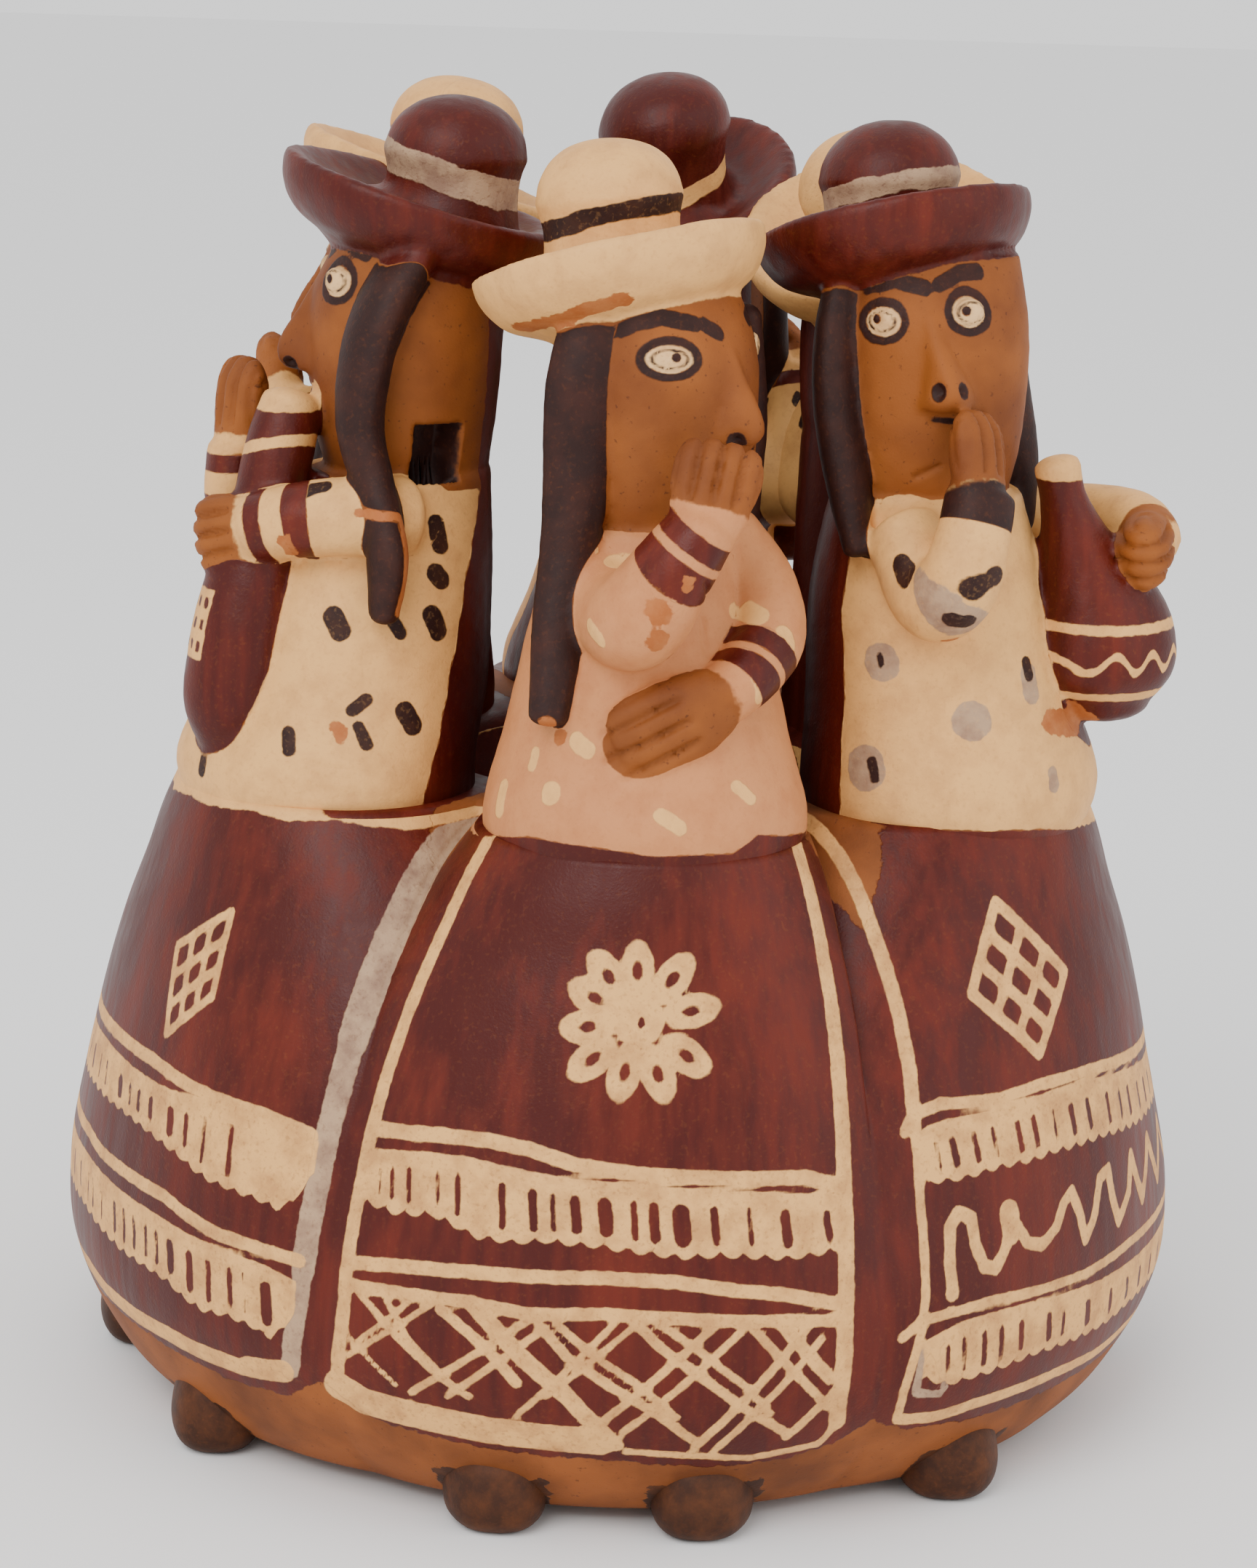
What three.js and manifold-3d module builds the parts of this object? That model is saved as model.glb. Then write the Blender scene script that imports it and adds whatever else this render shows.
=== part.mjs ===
// A ceramic folk group: six women stand back to back in a ring, and their skirts flow into one
// six-lobed bell that stands on small knob feet. It was modelled and fired as one piece.
//
// Millimetres, +Z up. The origin is the middle of the ring, on the surface that the feet stand on.
// Azimuths are in degrees: 0 looks along -Y, 90 along +X. Each woman is modelled in a frame of her
// own, as a point [across, out, up]: across runs to the right of someone who faces her, out is the
// distance from the middle of the ring, and up is the height over the ground.

import * as THREE from 'three';
import { mergeVertices } from 'three/addons/utils/BufferGeometryUtils.js';
import Module from 'manifold-3d';

const wasm = await Module();
wasm.setup();

// Driving sizes of the skirts.
const GROOVES = [-28.5, 26.7, 88, 148, 208, 269.5]; // azimuths of the grooves between the skirts
// Corners round one skirt, as parts of its half width from the crest, closer beside the grooves.
const SKIRT_CORNERS = [-1, -0.84, -0.62, -0.32, 0, 0.32, 0.62, 0.84];
const GROOVE_SOFTNESS = 3; // mm over which a skirt melts into the groove beside it
// Each level of the bell: height, radius of the crest of a skirt, half width and half depth of the
// oval that a skirt is at that height, and radius of the groove floor.
const BELL = [
  [3, 74.5, 46, 31, 71.5],
  [8, 79.5, 50, 34, 76],
  [15, 83.6, 54, 35.5, 82.2],
  [23, 86.8, 56, 36.5, 85.2],
  [34, 87.6, 56, 37, 85.6],
  [50, 86, 51.5, 35.4, 82],
  [66, 82.9, 45.6, 32.5, 75.4],
  [77, 80.1, 40.6, 30.4, 68],
  [86, 77.4, 35, 27.8, 60],
  [94, 75.2, 30, 25, 51],
  [99.5, 73.2, 26, 23, 44],
];
const SHIFT_FROM = 57; // height from which a skirt leans across towards its own waist
const WAIST = 99.5;
const WELL = [[31, 99], [22, 89]]; // radius and height down into the hollow middle
const WELL_FLOOR = 86;

// Driving sizes of the feet. Their azimuths are as uneven as the potter set them.
const FEET = [-88, -52, -12.6, 10.3, 41.7, 97, 128, 163, 192, 227, 252];
const FOOT_RADIUS = 7.4;
const FOOT_HEIGHT = 14;
const FOOT_FLAT = 4.4; // radius of the flat that a foot stands on
const FOOT_RING = 75.5; // radius of the circle that the feet stand on

// Driving sizes of a hat. The outline of the brim is given as parts of its radius, with heights
// over the plane of the rim, from the head outwards and back to the crown.
const BRIM = [[0.62, -12.4], [0.83, -8.8], [0.975, -3.4], [1, 0], [0.92, 0.8], [0.52, -2.4]];
const CROWN_RADIUS = 10;
const CROWN_DOME = [[1, -8.6], [0.66, -2]]; // parts of the radius, and heights over the crown's top

// Sizes that every woman shares.
// Levels of a head: height over its middle, half width, reach of the face and of the back.
const HEAD = [[-23, 10.8, 9.6, 12], [-13, 13.4, 12.9, 13.6], [-1, 14.4, 14, 14.8],
  [8, 14.1, 13.4, 14.9], [17, 12.4, 9, 13.2]];
const FACE = 13.6; // reach of the face at the height of the nose
// Levels of a nose: height over the middle of the head, how far it stands out, half width.
const NOSE = [[8.5, -0.4, 2], [-1, 5.2, 4.4], [-3.4, 4.6, 4.8]];
const NECK_VENT = [7, 8, 6]; // width, height and depth of the square vent in a neck

// A woman's own sizes. trunk rows: height, across, out, half width, half depth. head: the middle
// of the head, and turn, the degrees that the face is turned from straight out. hat: the middle
// and radius of the rim, the degrees that the rim is tilted up and the side that it is tilted up on,
// and the foot and top of the crown. arms, braids and props: rows of across, out, up, half width,
// half thickness.
const FRONT = {
  trunk: [[92, 3, 50, 22, 21], [101, 3.2, 51.6, 23.6, 21.8], [114, 3, 50, 20.4, 19.4],
    [130, 2.8, 47.4, 16.8, 17.2], [143.5, 3.2, 45.3, 13.2, 13.6]],
  head: [3.3, 45.3, 160.5], turn: 51,
  hat: { at: [-3.2, 42.3, 180.7], radius: 21.4, tilt: 18, toward: 51, foot: [-4, 41.7], top: [-5.7, 40.2, 198.2] },
  braids: [
    [[-5.5, 54, 174, 5, 3], [-7.7, 56, 165, 5, 3.2], [-8, 57, 152, 4.8, 3.2],
      [-8.8, 58.6, 141, 4.2, 3], [-9.8, 62, 130, 3.8, 2.8], [-10.9, 66, 118.5, 2.8, 2.2]],
    [[13, 37, 172, 4.5, 3], [14.5, 36, 158, 4.5, 3], [14.5, 36, 145, 4, 3], [16, 36, 130, 3, 2.4]],
  ],
  arms: [
    [[-7, 52, 138, 6, 6], [-1, 62.5, 132.6, 7, 6.5], [1.6, 67, 133.6, 8, 7], [6, 69, 140.4, 7.2, 6],
      [10.5, 69, 147, 5.9, 4.8]],
    [[13, 47, 141, 6, 6], [18.4, 51, 135, 5.6, 5.6], [20, 56, 129.7, 5.4, 5.4],
      [16.8, 62.5, 124.8, 5, 4.8], [13.5, 66, 122, 4.7, 4]],
  ],
  hands: [
    { wrist: [10.5, 68.6, 147], tip: [12.6, 65.8, 157.5], half: 6.3, thick: 3.8 },
    { wrist: [12, 66.8, 121.3], tip: [0.2, 69, 114.8], half: 6.6, thick: 3.6 },
  ],
  props: [],
};

const RIGHT = {
  trunk: [[92, 5, 51.5, 22, 21], [101, 5.5, 53.4, 24.6, 21.8], [114, 4.5, 52, 21.2, 20],
    [131, 2.8, 50, 17.5, 17.8], [146, 1, 50, 13.4, 14]],
  head: [0.2, 50, 164], turn: -50,
  hat: { at: [0.9, 42.2, 185], radius: 20.6, tilt: 18, toward: -15, foot: [4.1, 40], top: [5, 38.7, 199] },
  braids: [
    [[-9, 41, 177, 4.5, 3], [-12.3, 41.5, 168, 4.6, 3.2], [-14, 43, 158, 4.4, 3.2],
      [-15, 45.5, 149, 3.8, 3], [-16, 48.5, 139, 2.6, 2.2]],
    [[8.4, 54, 177, 4.5, 3], [11, 55.4, 168, 4.5, 3.2], [13.2, 56.6, 158, 4.2, 3],
      [13.8, 58.6, 148, 3.2, 2.6], [13, 59.6, 140, 2.4, 2]],
  ],
  arms: [
    [[-12, 54, 141, 6, 6], [-17, 63, 133.5, 6.2, 6], [-18, 66.5, 137, 6, 5.6],
      [-16.5, 67.5, 143, 5.4, 5], [-14.3, 67.3, 148.5, 5.2, 4.4]],
    [[14, 50, 141, 6, 6], [23, 56, 139, 5.6, 5.6], [27, 66, 139.5, 5.6, 5.4],
      [23.5, 74, 140, 5, 4.8], [19, 78.5, 139, 4.6, 4.4]],
  ],
  hands: [
    { wrist: [-14.3, 67, 148.5], tip: [-11.4, 64.4, 159.5], half: 5.6, thick: 3.6 },
    { wrist: [19.5, 77.5, 139.6], tip: [10.5, 81.5, 137.4], half: 5.2, thick: 4.2 },
  ],
  props: [
    [[8.4, 67.6, 150.5, 3.6, 3.4], [9.2, 68.4, 146, 3.6, 3.4], [10.8, 69.6, 140, 5.4, 5],
      [13.4, 71.2, 132, 9.2, 8.6], [15.4, 72.4, 124.5, 12, 11], [16.2, 73, 118.5, 11, 10.2],
      [16.3, 73.2, 114.5, 7.4, 7]],
  ],
};

const LEFT = {
  trunk: [[92, -2, 50, 22, 21], [101, -2.3, 52, 24.6, 21.8], [114, -1, 48.8, 21.2, 20.3],
    [131, 0, 45.8, 17.6, 18.1], [146, 0, 42, 13.4, 14.2]],
  head: [0, 41.3, 164.5], turn: -28,
  hat: { at: [-0.8, 38, 186], radius: 21.2, tilt: 16.5, toward: -28, foot: [1.3, 34], top: [1.7, 33.3, 201] },
  braids: [
    [[12, 46, 179, 4.8, 3.2], [13.6, 49.5, 172, 5.2, 3.6], [13.8, 53, 162, 5.2, 3.6],
      [14, 54.2, 154, 4.2, 3.4], [14.6, 53.4, 146, 3.2, 3], [15.6, 53, 141, 2.6, 2.6],
      [17.2, 53.6, 135, 3.2, 2.8], [18.6, 54.5, 127.5, 2.4, 2]],
    [[-12, 42, 176, 4.5, 3], [-14, 43, 162, 4.5, 3.2], [-14.6, 45, 148, 3.6, 3],
      [-16, 49, 134, 2.6, 2.2]],
  ],
  arms: [
    [[13, 48, 141, 6, 6], [13.5, 55, 141.6, 6, 5.6], [8.5, 61.5, 140.6, 5.6, 5.4],
      [3, 66.5, 138.8, 5.2, 5.2]],
    [[-11, 51, 140, 6, 6], [-14.5, 57, 137.5, 5.6, 5.4], [-13, 61.5, 140, 5.4, 5],
      [-13, 62, 148, 5.2, 4.6]],
  ],
  hands: [
    { wrist: [3, 66.5, 138.8], tip: [-4.5, 71.6, 136.4], half: 6, thick: 4 },
    { wrist: [-13, 61.8, 148], tip: [-14, 60.6, 160.5], half: 5.6, thick: 3.6 },
  ],
  props: [
    [[-2, 58.6, 156.5, 4.6, 4.4], [-1.6, 60, 152, 5.2, 5], [-0.8, 63, 141, 5.4, 5.2],
      [-0.2, 65.6, 130, 7.2, 6.8], [-0.4, 67.6, 119, 8, 7.4], [-0.7, 68.6, 110, 7, 6.6],
      [-0.8, 68.8, 105.5, 4.6, 4.4]],
  ],
};

// The three women at the back, plainer sisters of the same build. Each faces the neighbour on the
// side that she turns to and raises the arm on that side; the other hand lies on her belly.
function backWoman({ turn, slim, head, hat, prop }) {
  const side = Math.sign(turn);
  const [across, out] = head;
  return {
    isPlain: true,
    trunk: [[92, 0, 51, 22, 21], [101, 0, 52.5, 24, 21.8], [114, across / 3, 50.5, 20.8 * slim, 19.8],
      [131, across * 0.7, 48, 17.3 * slim, 17.4], [146, across, out, 13.2, 13.8]],
    head, turn, hat,
    braids: [-1, 1].map((hand) => [[across + hand * 12, out - 2, 174, 4.6, 3],
      [across + hand * 14.4, out + 2, 155, 4.4, 3.1], [across + hand * 15, 55, 134, 2.8, 2.4]]),
    arms: [
      [[across + side * 9, 47, 141, 6, 6], [across + side * 19.5, 44.5, 135, 7.6, 7.4],
        [across + side * 21.5, 46, 143, 7, 6.6], [across + side * 21, 50, 151, 5.4, 5]],
      [[across - side * 8, 52, 140, 6, 6], [-side * 9.5, 60, 131, 5.6, 5.6],
        [-side * 8, 65, 125, 5, 4.8], [-side * 5, 68, 121, 4.7, 4.2]],
    ],
    hands: [
      { wrist: [across + side * 20.4, 51.6, 152], tip: [across + side * 13, 57.5, 157], half: 5.4, thick: 3.6 },
      { wrist: [-side * 5, 68, 121], tip: [side * 5, 70.5, 117], half: 6, thick: 3.6 },
    ],
    props: prop ? [prop] : [],
  };
}

const BABY = [[-8, 69, 133, 5, 4.6], [-3, 70.5, 127, 7, 6], [4, 71, 119, 7, 6], [9, 70, 113, 5, 4.6]];
const POT = [[-23.5, 52, 133, 3.4, 3.4], [-23.5, 52, 129.6, 6.2, 6], [-23.5, 52, 125, 6.4, 6.2],
  [-23.5, 52, 121.6, 4, 4]];
const WOMEN = [
  FRONT,
  RIGHT,
  backWoman({ turn: 45, slim: 0.9, head: [1, 44.9, 160], prop: BABY,
    hat: { at: [0.8, 41.2, 179], radius: 21.6, tilt: 27, toward: 42, foot: [-1.2, 39], top: [-6.2, 33.4, 193.3] } }),
  backWoman({ turn: -30, slim: 1, head: [-3.6, 45.2, 162], prop: POT,
    hat: { at: [-1.5, 44.1, 182], radius: 21.2, tilt: 27, toward: -28, foot: [-1, 42], top: [-0.8, 36.5, 200.2] } }),
  backWoman({ turn: 40, slim: 1, head: [2.6, 41.6, 164], prop: null,
    hat: { at: [0.3, 38.4, 185.5], radius: 21.4, tilt: 18, toward: 40, foot: [-1, 36.5], top: [-2.5, 35.4, 200.6] } }),
  LEFT,
];
// The vent that the potter left in the neck of the woman on the left, and its slant.
const VENT_AT = [12.6, 41.5, 150];

const radians = (degrees) => THREE.MathUtils.degToRad(degrees);
// The skirt of a woman runs from her groove to the next one; her own frame stands halfway.
const skirtWidth = (index) => (GROOVES[index + 1] ?? GROOVES[0] + 360) - GROOVES[index];
const azimuthOf = (index) => GROOVES[index] + skirtWidth(index) / 2;

// A point [across, out, up] in the frame of a woman, in the frame of the whole group.
function place(point, azimuth) {
  const a = radians(azimuth);
  const [across, out, up] = point;
  const x = across * Math.cos(a) + out * Math.sin(a);
  const y = across * Math.sin(a) - out * Math.cos(a);
  return new THREE.Vector3(x, y, up);
}

// A closed skin over rings that all have the same number of corners, with a pole at each end.
function skin(rings, firstPole, lastPole) {
  const count = rings[0].length;
  const points = [firstPole, ...rings.flat(), lastPole];
  const corner = (ring, step) => 1 + ring * count + (step % count);
  const last = points.length - 1;
  const faces = [];
  for (let step = 0; step < count; step += 1) {
    faces.push([0, corner(0, step + 1), corner(0, step)]);
    faces.push([last, corner(rings.length - 1, step), corner(rings.length - 1, step + 1)]);
    for (let ring = 0; ring + 1 < rings.length; ring += 1) {
      const [a, b] = [corner(ring, step), corner(ring, step + 1)];
      const [c, d] = [corner(ring + 1, step + 1), corner(ring + 1, step)];
      faces.push([a, b, c], [a, c, d]);
    }
  }
  const volume = faces.reduce((sum, [a, b, c]) => {
    const cross = new THREE.Vector3().crossVectors(points[b], points[c]);
    return sum + points[a].dot(cross);
  }, 0);
  const turned = volume < 0 ? faces.map(([a, b, c]) => [a, c, b]) : faces;
  const geometry = new THREE.BufferGeometry();
  geometry.setAttribute('position',
    new THREE.Float32BufferAttribute(points.flatMap((point) => point.toArray()), 3));
  geometry.setIndex(turned.flat());
  return geometry;
}

const middle = (ring) => ring.reduce((sum, point) => sum.add(point), new THREE.Vector3())
  .divideScalar(ring.length);

// The radius of the bell at an angle, as parts of half a skirt from its crest: the far side of the
// skirt's oval, melted into the groove floor with a soft maximum. Towards the waist the oval moves
// over by shift, to stand under its own woman.
function bellRadius(level, fromCrest, shift) {
  const [height, crest, halfWidth, halfDepth, floor] = level;
  const leaning = Math.max(0, (height - SHIFT_FROM) / (WAIST - SHIFT_FROM));
  const across = shift * leaning;
  const out = crest - halfDepth;
  const a = radians(fromCrest * 30);
  const p = (Math.sin(a) / halfWidth) ** 2 + (Math.cos(a) / halfDepth) ** 2;
  const q = (Math.sin(a) * across) / halfWidth ** 2 + (Math.cos(a) * out) / halfDepth ** 2;
  const k = (across / halfWidth) ** 2 + (out / halfDepth) ** 2 - 1;
  const oval = (q + Math.sqrt(Math.max(q * q - p * k, 0))) / p;
  const over = Math.max(0, GROOVE_SOFTNESS - Math.abs(oval - floor));
  return Math.max(oval, floor) + over ** 2 / (4 * GROOVE_SOFTNESS);
}

// The bell of six skirts, with the hollow in the middle of the ring.
function bell() {
  const corners = WOMEN.flatMap((woman, index) => SKIRT_CORNERS.map((fromCrest) => ({
    angle: azimuthOf(index) + (fromCrest * skirtWidth(index)) / 2,
    fromCrest,
    shift: woman.trunk[1][1],
  })));
  const rings = BELL.map((level) => corners.map(({ angle, fromCrest, shift }) => (
    place([0, bellRadius(level, fromCrest, shift), level[0]], angle))));
  const well = WELL.map(([radius, height]) => corners.map(({ angle }) => place([0, radius, height], angle)));
  const base = new THREE.Vector3(0, 0, BELL[0][0]);
  return skin([...rings, ...well], base, new THREE.Vector3(0, 0, WELL_FLOOR));
}

// A knob foot, turned on its own axis and flat below.
function foot(azimuth) {
  const outline = [[0, 0], [FOOT_FLAT, 0], [FOOT_RADIUS, 4],
    [FOOT_RADIUS * 0.85, 10.5], [0, FOOT_HEIGHT]].map(([r, z]) => new THREE.Vector2(r, z));
  const knob = new THREE.LatheGeometry(outline, 7);
  knob.rotateX(Math.PI / 2);
  const centre = place([0, FOOT_RING, 0], azimuth);
  return knob.translate(centre.x, centre.y, 0);
}

// A limb, braid, bottle or bundle: oval rings along a path, each as wide and as thick as its row
// says, and a blunt cap at each end. The first ring has its flat side outwards, and the frame is
// carried on along the path without a twist.
function limb(rows, azimuth, sides) {
  const centres = rows.map(([across, out, up]) => new THREE.Vector3(across, out, up));
  const last = rows.length - 1;
  const along = centres.map((_, index) => centres[Math.min(index + 1, last)].clone()
    .sub(centres[Math.max(index - 1, 0)]).normalize());
  let side = new THREE.Vector3(0, 1, 0).cross(along[0]);
  const rings = rows.map(([, , , half, thick], index) => {
    side = side.clone().addScaledVector(along[index], -side.dot(along[index])).normalize();
    const front = along[index].clone().cross(side);
    return Array.from({ length: sides }, (_, step) => {
      const angle = (2 * Math.PI * (step + 0.5)) / sides;
      const point = centres[index].clone().addScaledVector(side, half * Math.cos(angle))
        .addScaledVector(front, thick * Math.sin(angle));
      return place(point.toArray(), azimuth);
    });
  });
  const pole = (index, reach) => place(centres[index].clone()
    .addScaledVector(along[index], reach * rows[index][3]).toArray(), azimuth);
  return skin(rings, pole(0, -0.4), pole(last, 0.4));
}

// A mitten hand: fingers side by side, parted by grooves on the outer face unless it is plain.
function hand({ wrist, tip, half, thick }, azimuth, isPlain) {
  const from = new THREE.Vector3(...wrist);
  const to = new THREE.Vector3(...tip);
  const along = to.clone().sub(from).normalize();
  const side = new THREE.Vector3(0, 1, 0).cross(along).normalize();
  const front = along.clone().cross(side);
  if (front.y < 0) front.negate();
  const profile = [[0, 0.85, 0.2], [0.6, 1, 1], [1.02, 0.6, 1]];
  const steps = isPlain ? 8 : 12;
  const rings = profile.map(([part, scale, cut]) => Array.from({ length: steps }, (_, step) => {
    const angle = (2 * Math.PI * step) / steps;
    const outer = Math.sin(angle) > 0.05;
    const groove = outer && !isPlain && step % 2 === 0 ? 1 - 0.22 * cut : 1;
    const centre = from.clone().lerp(to, part);
    centre.addScaledVector(side, half * scale * Math.cos(angle));
    centre.addScaledVector(front, thick * scale * groove * Math.sin(angle));
    return place(centre.toArray(), azimuth);
  }));
  return skin(rings, middle(rings[0]), place(to.clone().addScaledVector(along, 1).toArray(), azimuth));
}

// A trunk: oval rings, one for each row.
function trunk(rows, azimuth) {
  const steps = 14;
  const rings = rows.map(([up, across, out, half, deep]) => Array.from({ length: steps }, (_, step) => {
    const angle = (2 * Math.PI * (step + 0.5)) / steps;
    return place([across + half * Math.cos(angle), out + deep * Math.sin(angle), up], azimuth);
  }));
  return skin(rings, middle(rings[0]), middle(rings[rings.length - 1]));
}

// A point in the frame of a head, [side, forward, up], in the frame of its woman.
function onHead(woman, [side, forward, up]) {
  const a = radians(woman.turn);
  const [across, out, height] = woman.head;
  return [across + side * Math.cos(a) + forward * Math.sin(a),
    out - side * Math.sin(a) + forward * Math.cos(a), height + up];
}

function head(woman, azimuth) {
  const steps = 12;
  const rings = HEAD.map(([up, half, face, back]) => Array.from({ length: steps }, (_, step) => {
    const angle = (2 * Math.PI * (step + 0.5)) / steps;
    const reach = Math.sin(angle) > 0 ? face : back;
    return place(onHead(woman, [half * Math.cos(angle), reach * Math.sin(angle), up]), azimuth);
  }));
  return skin(rings, middle(rings[0]), middle(rings[rings.length - 1]));
}

// A nose: a long wedge from between the eyes to the tip, cut off straight below.
function nose(woman, azimuth) {
  const ring = ([up, forward, half]) => [[-half, FACE - 3], [-half * 0.8, FACE + forward - 1.6],
    [0, FACE + forward], [half * 0.8, FACE + forward - 1.6], [half, FACE - 3]]
    .map(([side, ahead]) => place(onHead(woman, [side, ahead, up]), azimuth));
  const rings = NOSE.map(ring);
  return skin(rings, middle(rings[0]), middle(rings[rings.length - 1]));
}

// A hat: a bowl-like brim in a tilted plane, and a round crown on a slanting axis of its own.
function hat(woman, azimuth) {
  const { at, radius, tilt, toward, foot, top } = woman.hat;
  const steps = 13;
  const [turn, rise] = [radians(toward), radians(tilt)];
  const side = new THREE.Vector3(Math.cos(turn), -Math.sin(turn), 0);
  const level = new THREE.Vector3(Math.sin(turn), Math.cos(turn), 0);
  const uphill = level.clone().multiplyScalar(Math.cos(rise)).setZ(Math.sin(rise));
  const normal = level.clone().multiplyScalar(-Math.sin(rise)).setZ(Math.cos(rise));
  const rim = new THREE.Vector3(...at);
  const peak = new THREE.Vector3(...top);
  const base = new THREE.Vector3(...foot, rim.z).addScaledVector(normal, -1);
  const axis = peak.clone().sub(base).normalize();
  const forward = axis.clone().cross(side).normalize();
  const ring = (centre, ahead, reach) => Array.from({ length: steps }, (_, step) => {
    const angle = (2 * Math.PI * step) / steps;
    return place(centre.clone().addScaledVector(side, reach * Math.cos(angle))
      .addScaledVector(ahead, reach * Math.sin(angle)).toArray(), azimuth);
  });
  const brim = BRIM.map(([part, up]) => (part * radius > CROWN_RADIUS * 1.2
    ? ring(rim.clone().addScaledVector(normal, up), uphill, part * radius)
    : ring(base.clone().addScaledVector(normal, up), uphill, CROWN_RADIUS * 1.06)));
  const dome = CROWN_DOME.map(([part, up]) => (
    ring(peak.clone().addScaledVector(axis, up), forward, part * CROWN_RADIUS)));
  return skin([...brim, ...dome], middle(brim[0]), place(top, azimuth));
}

// The square vent: a slanted box that is cut into the side of the neck.
function vent(azimuth) {
  const [width, height, depth] = NECK_VENT;
  const box = new THREE.BoxGeometry(width, height, depth * 2);
  box.rotateY(radians(8));
  const centre = place(VENT_AT, azimuth);
  box.rotateX(Math.PI / 2);
  return box.translate(centre.x, centre.y, centre.z);
}

// A closed mesh as a solid that can be joined and cut.
function solid(geometry) {
  const bare = geometry.clone();
  bare.deleteAttribute('normal');
  bare.deleteAttribute('uv');
  const welded = mergeVertices(bare, 1e-4);
  return new wasm.Manifold(new wasm.Mesh({
    numProp: 3,
    vertProperties: new Float32Array(welded.attributes.position.array),
    triVerts: new Uint32Array(welded.index.array),
  }));
}

function womanParts(woman, azimuth) {
  return [
    trunk(woman.trunk, azimuth), head(woman, azimuth), nose(woman, azimuth), hat(woman, azimuth),
    ...woman.braids.map((rows) => limb(rows, azimuth, 6)),
    ...woman.arms.map((rows) => limb(rows, azimuth, 6)),
    ...woman.hands.map((size) => hand(size, azimuth, woman.isPlain)),
    ...woman.props.map((rows) => limb(rows, azimuth, 10)),
  ];
}

function figurine() {
  let body = solid(bell());
  WOMEN.forEach((woman, index) => {
    const azimuth = azimuthOf(index);
    womanParts(woman, azimuth).forEach((part) => { body = body.add(solid(part)); });
  });
  FEET.forEach((azimuth) => { body = body.add(solid(foot(azimuth))); });
  body = body.subtract(solid(vent(azimuthOf(WOMEN.indexOf(LEFT)))));
  const { vertProperties, triVerts } = body.getMesh();
  const geometry = new THREE.BufferGeometry();
  geometry.setAttribute('position', new THREE.BufferAttribute(vertProperties, 3));
  geometry.setIndex(new THREE.BufferAttribute(triVerts, 1));
  geometry.computeVertexNormals();
  return geometry;
}

const firedClay = new THREE.MeshStandardMaterial({ color: 0x7a3420, roughness: 0.55, metalness: 0 });
const group = new THREE.Group();
const mesh = new THREE.Mesh(figurine(), firedClay);
mesh.name = 'figurine';
group.add(mesh);

export default group;
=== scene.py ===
"""A ceramic folk group: six women in hats stand back to back in a ring, and their skirts flow into one
six-lobed bell on small knob feet.

All shapes are worked out in millimetres and set into the meshes in metres. Azimuths are in degrees, 0
along -Y and 90 along +X. Each woman has a frame of her own: across, out from the middle of the ring, up.
Paint is kept on the points of a mesh as distances in millimetres, negative inside the painted area, and
the materials turn those distances into brushed edges.
"""

import math

import bmesh
import bpy
import numpy as np

from mathutils import Matrix


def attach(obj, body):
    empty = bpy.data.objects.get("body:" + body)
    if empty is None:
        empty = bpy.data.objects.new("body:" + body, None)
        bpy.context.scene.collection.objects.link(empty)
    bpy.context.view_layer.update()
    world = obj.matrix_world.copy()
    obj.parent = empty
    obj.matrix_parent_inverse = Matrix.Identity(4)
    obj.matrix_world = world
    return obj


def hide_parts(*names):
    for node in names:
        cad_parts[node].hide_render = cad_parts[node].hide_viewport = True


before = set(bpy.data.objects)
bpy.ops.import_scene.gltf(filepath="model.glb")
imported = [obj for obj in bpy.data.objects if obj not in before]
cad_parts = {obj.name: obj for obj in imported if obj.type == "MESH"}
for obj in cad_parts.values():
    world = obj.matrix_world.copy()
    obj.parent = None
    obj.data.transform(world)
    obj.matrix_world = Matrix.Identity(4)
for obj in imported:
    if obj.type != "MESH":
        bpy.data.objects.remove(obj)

bl_info = {
    "name": "Ceramic group of six women",
    "version": (1, 0, 0),
    "blender": (4, 5, 0),
    "location": "View3D > Sidebar > Pottery",
    "description": "Builds a painted pottery group of six women on one bell of skirts",
    "category": "Object",
}

MM = 0.001
# The coats of slip on the women, from the lowest up: what is painted, and how.
FIGURE_COATS = {
    "red": ("slip", {"Ragged": 0.4, "Gaps": 0.12}),
    "pink": ("pink", {"Ragged": 0.3, "Thinning": 0.5, "Gaps": 0.1}),
    "cream": ("cream", {"Ragged": 0.3, "Thinning": 0.4, "Gaps": 0.12}),
    "thin": ("grey", {"Ragged": 0.5, "Thinning": 0.8, "Gaps": 0.25}),
    "smudge": ("grey", {"Ragged": 0.4, "Thinning": 0.9, "Gaps": 0.2, "Coat height": 0.03}),
    "bare": ("rubbed", {"Ragged": 0.9, "Coat height": -0.05, "Thinning": 0.5}),
    # The dark coat: dark on hair, spots, eyes and the mouth line, and painted shade in the nostril pits and
    # the vent.
    "dark": ("dark", {"Ragged": 0.25, "Thinning": 0.5, "Gaps": 0.1, "Coat height": 0.08}),
    "white": ("white", {"Ragged": 0.2, "Thinning": 0.6, "Gaps": 0.2}),
    # Painted shade of a shallow pressed ring in each eye: dark, with a slight dent in the bump.
    "eye_ring_shade": ("dark", {"Ragged": 0.15, "Coat height": -0.08, "Gaps": 0.3}),
}
PHOTO_HEIGHT = 2156

# The skirts, as in the solid.
GROOVES = [-28.5, 26.7, 88, 148, 208, 269.5]
GROOVE_SOFTNESS = 3
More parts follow.
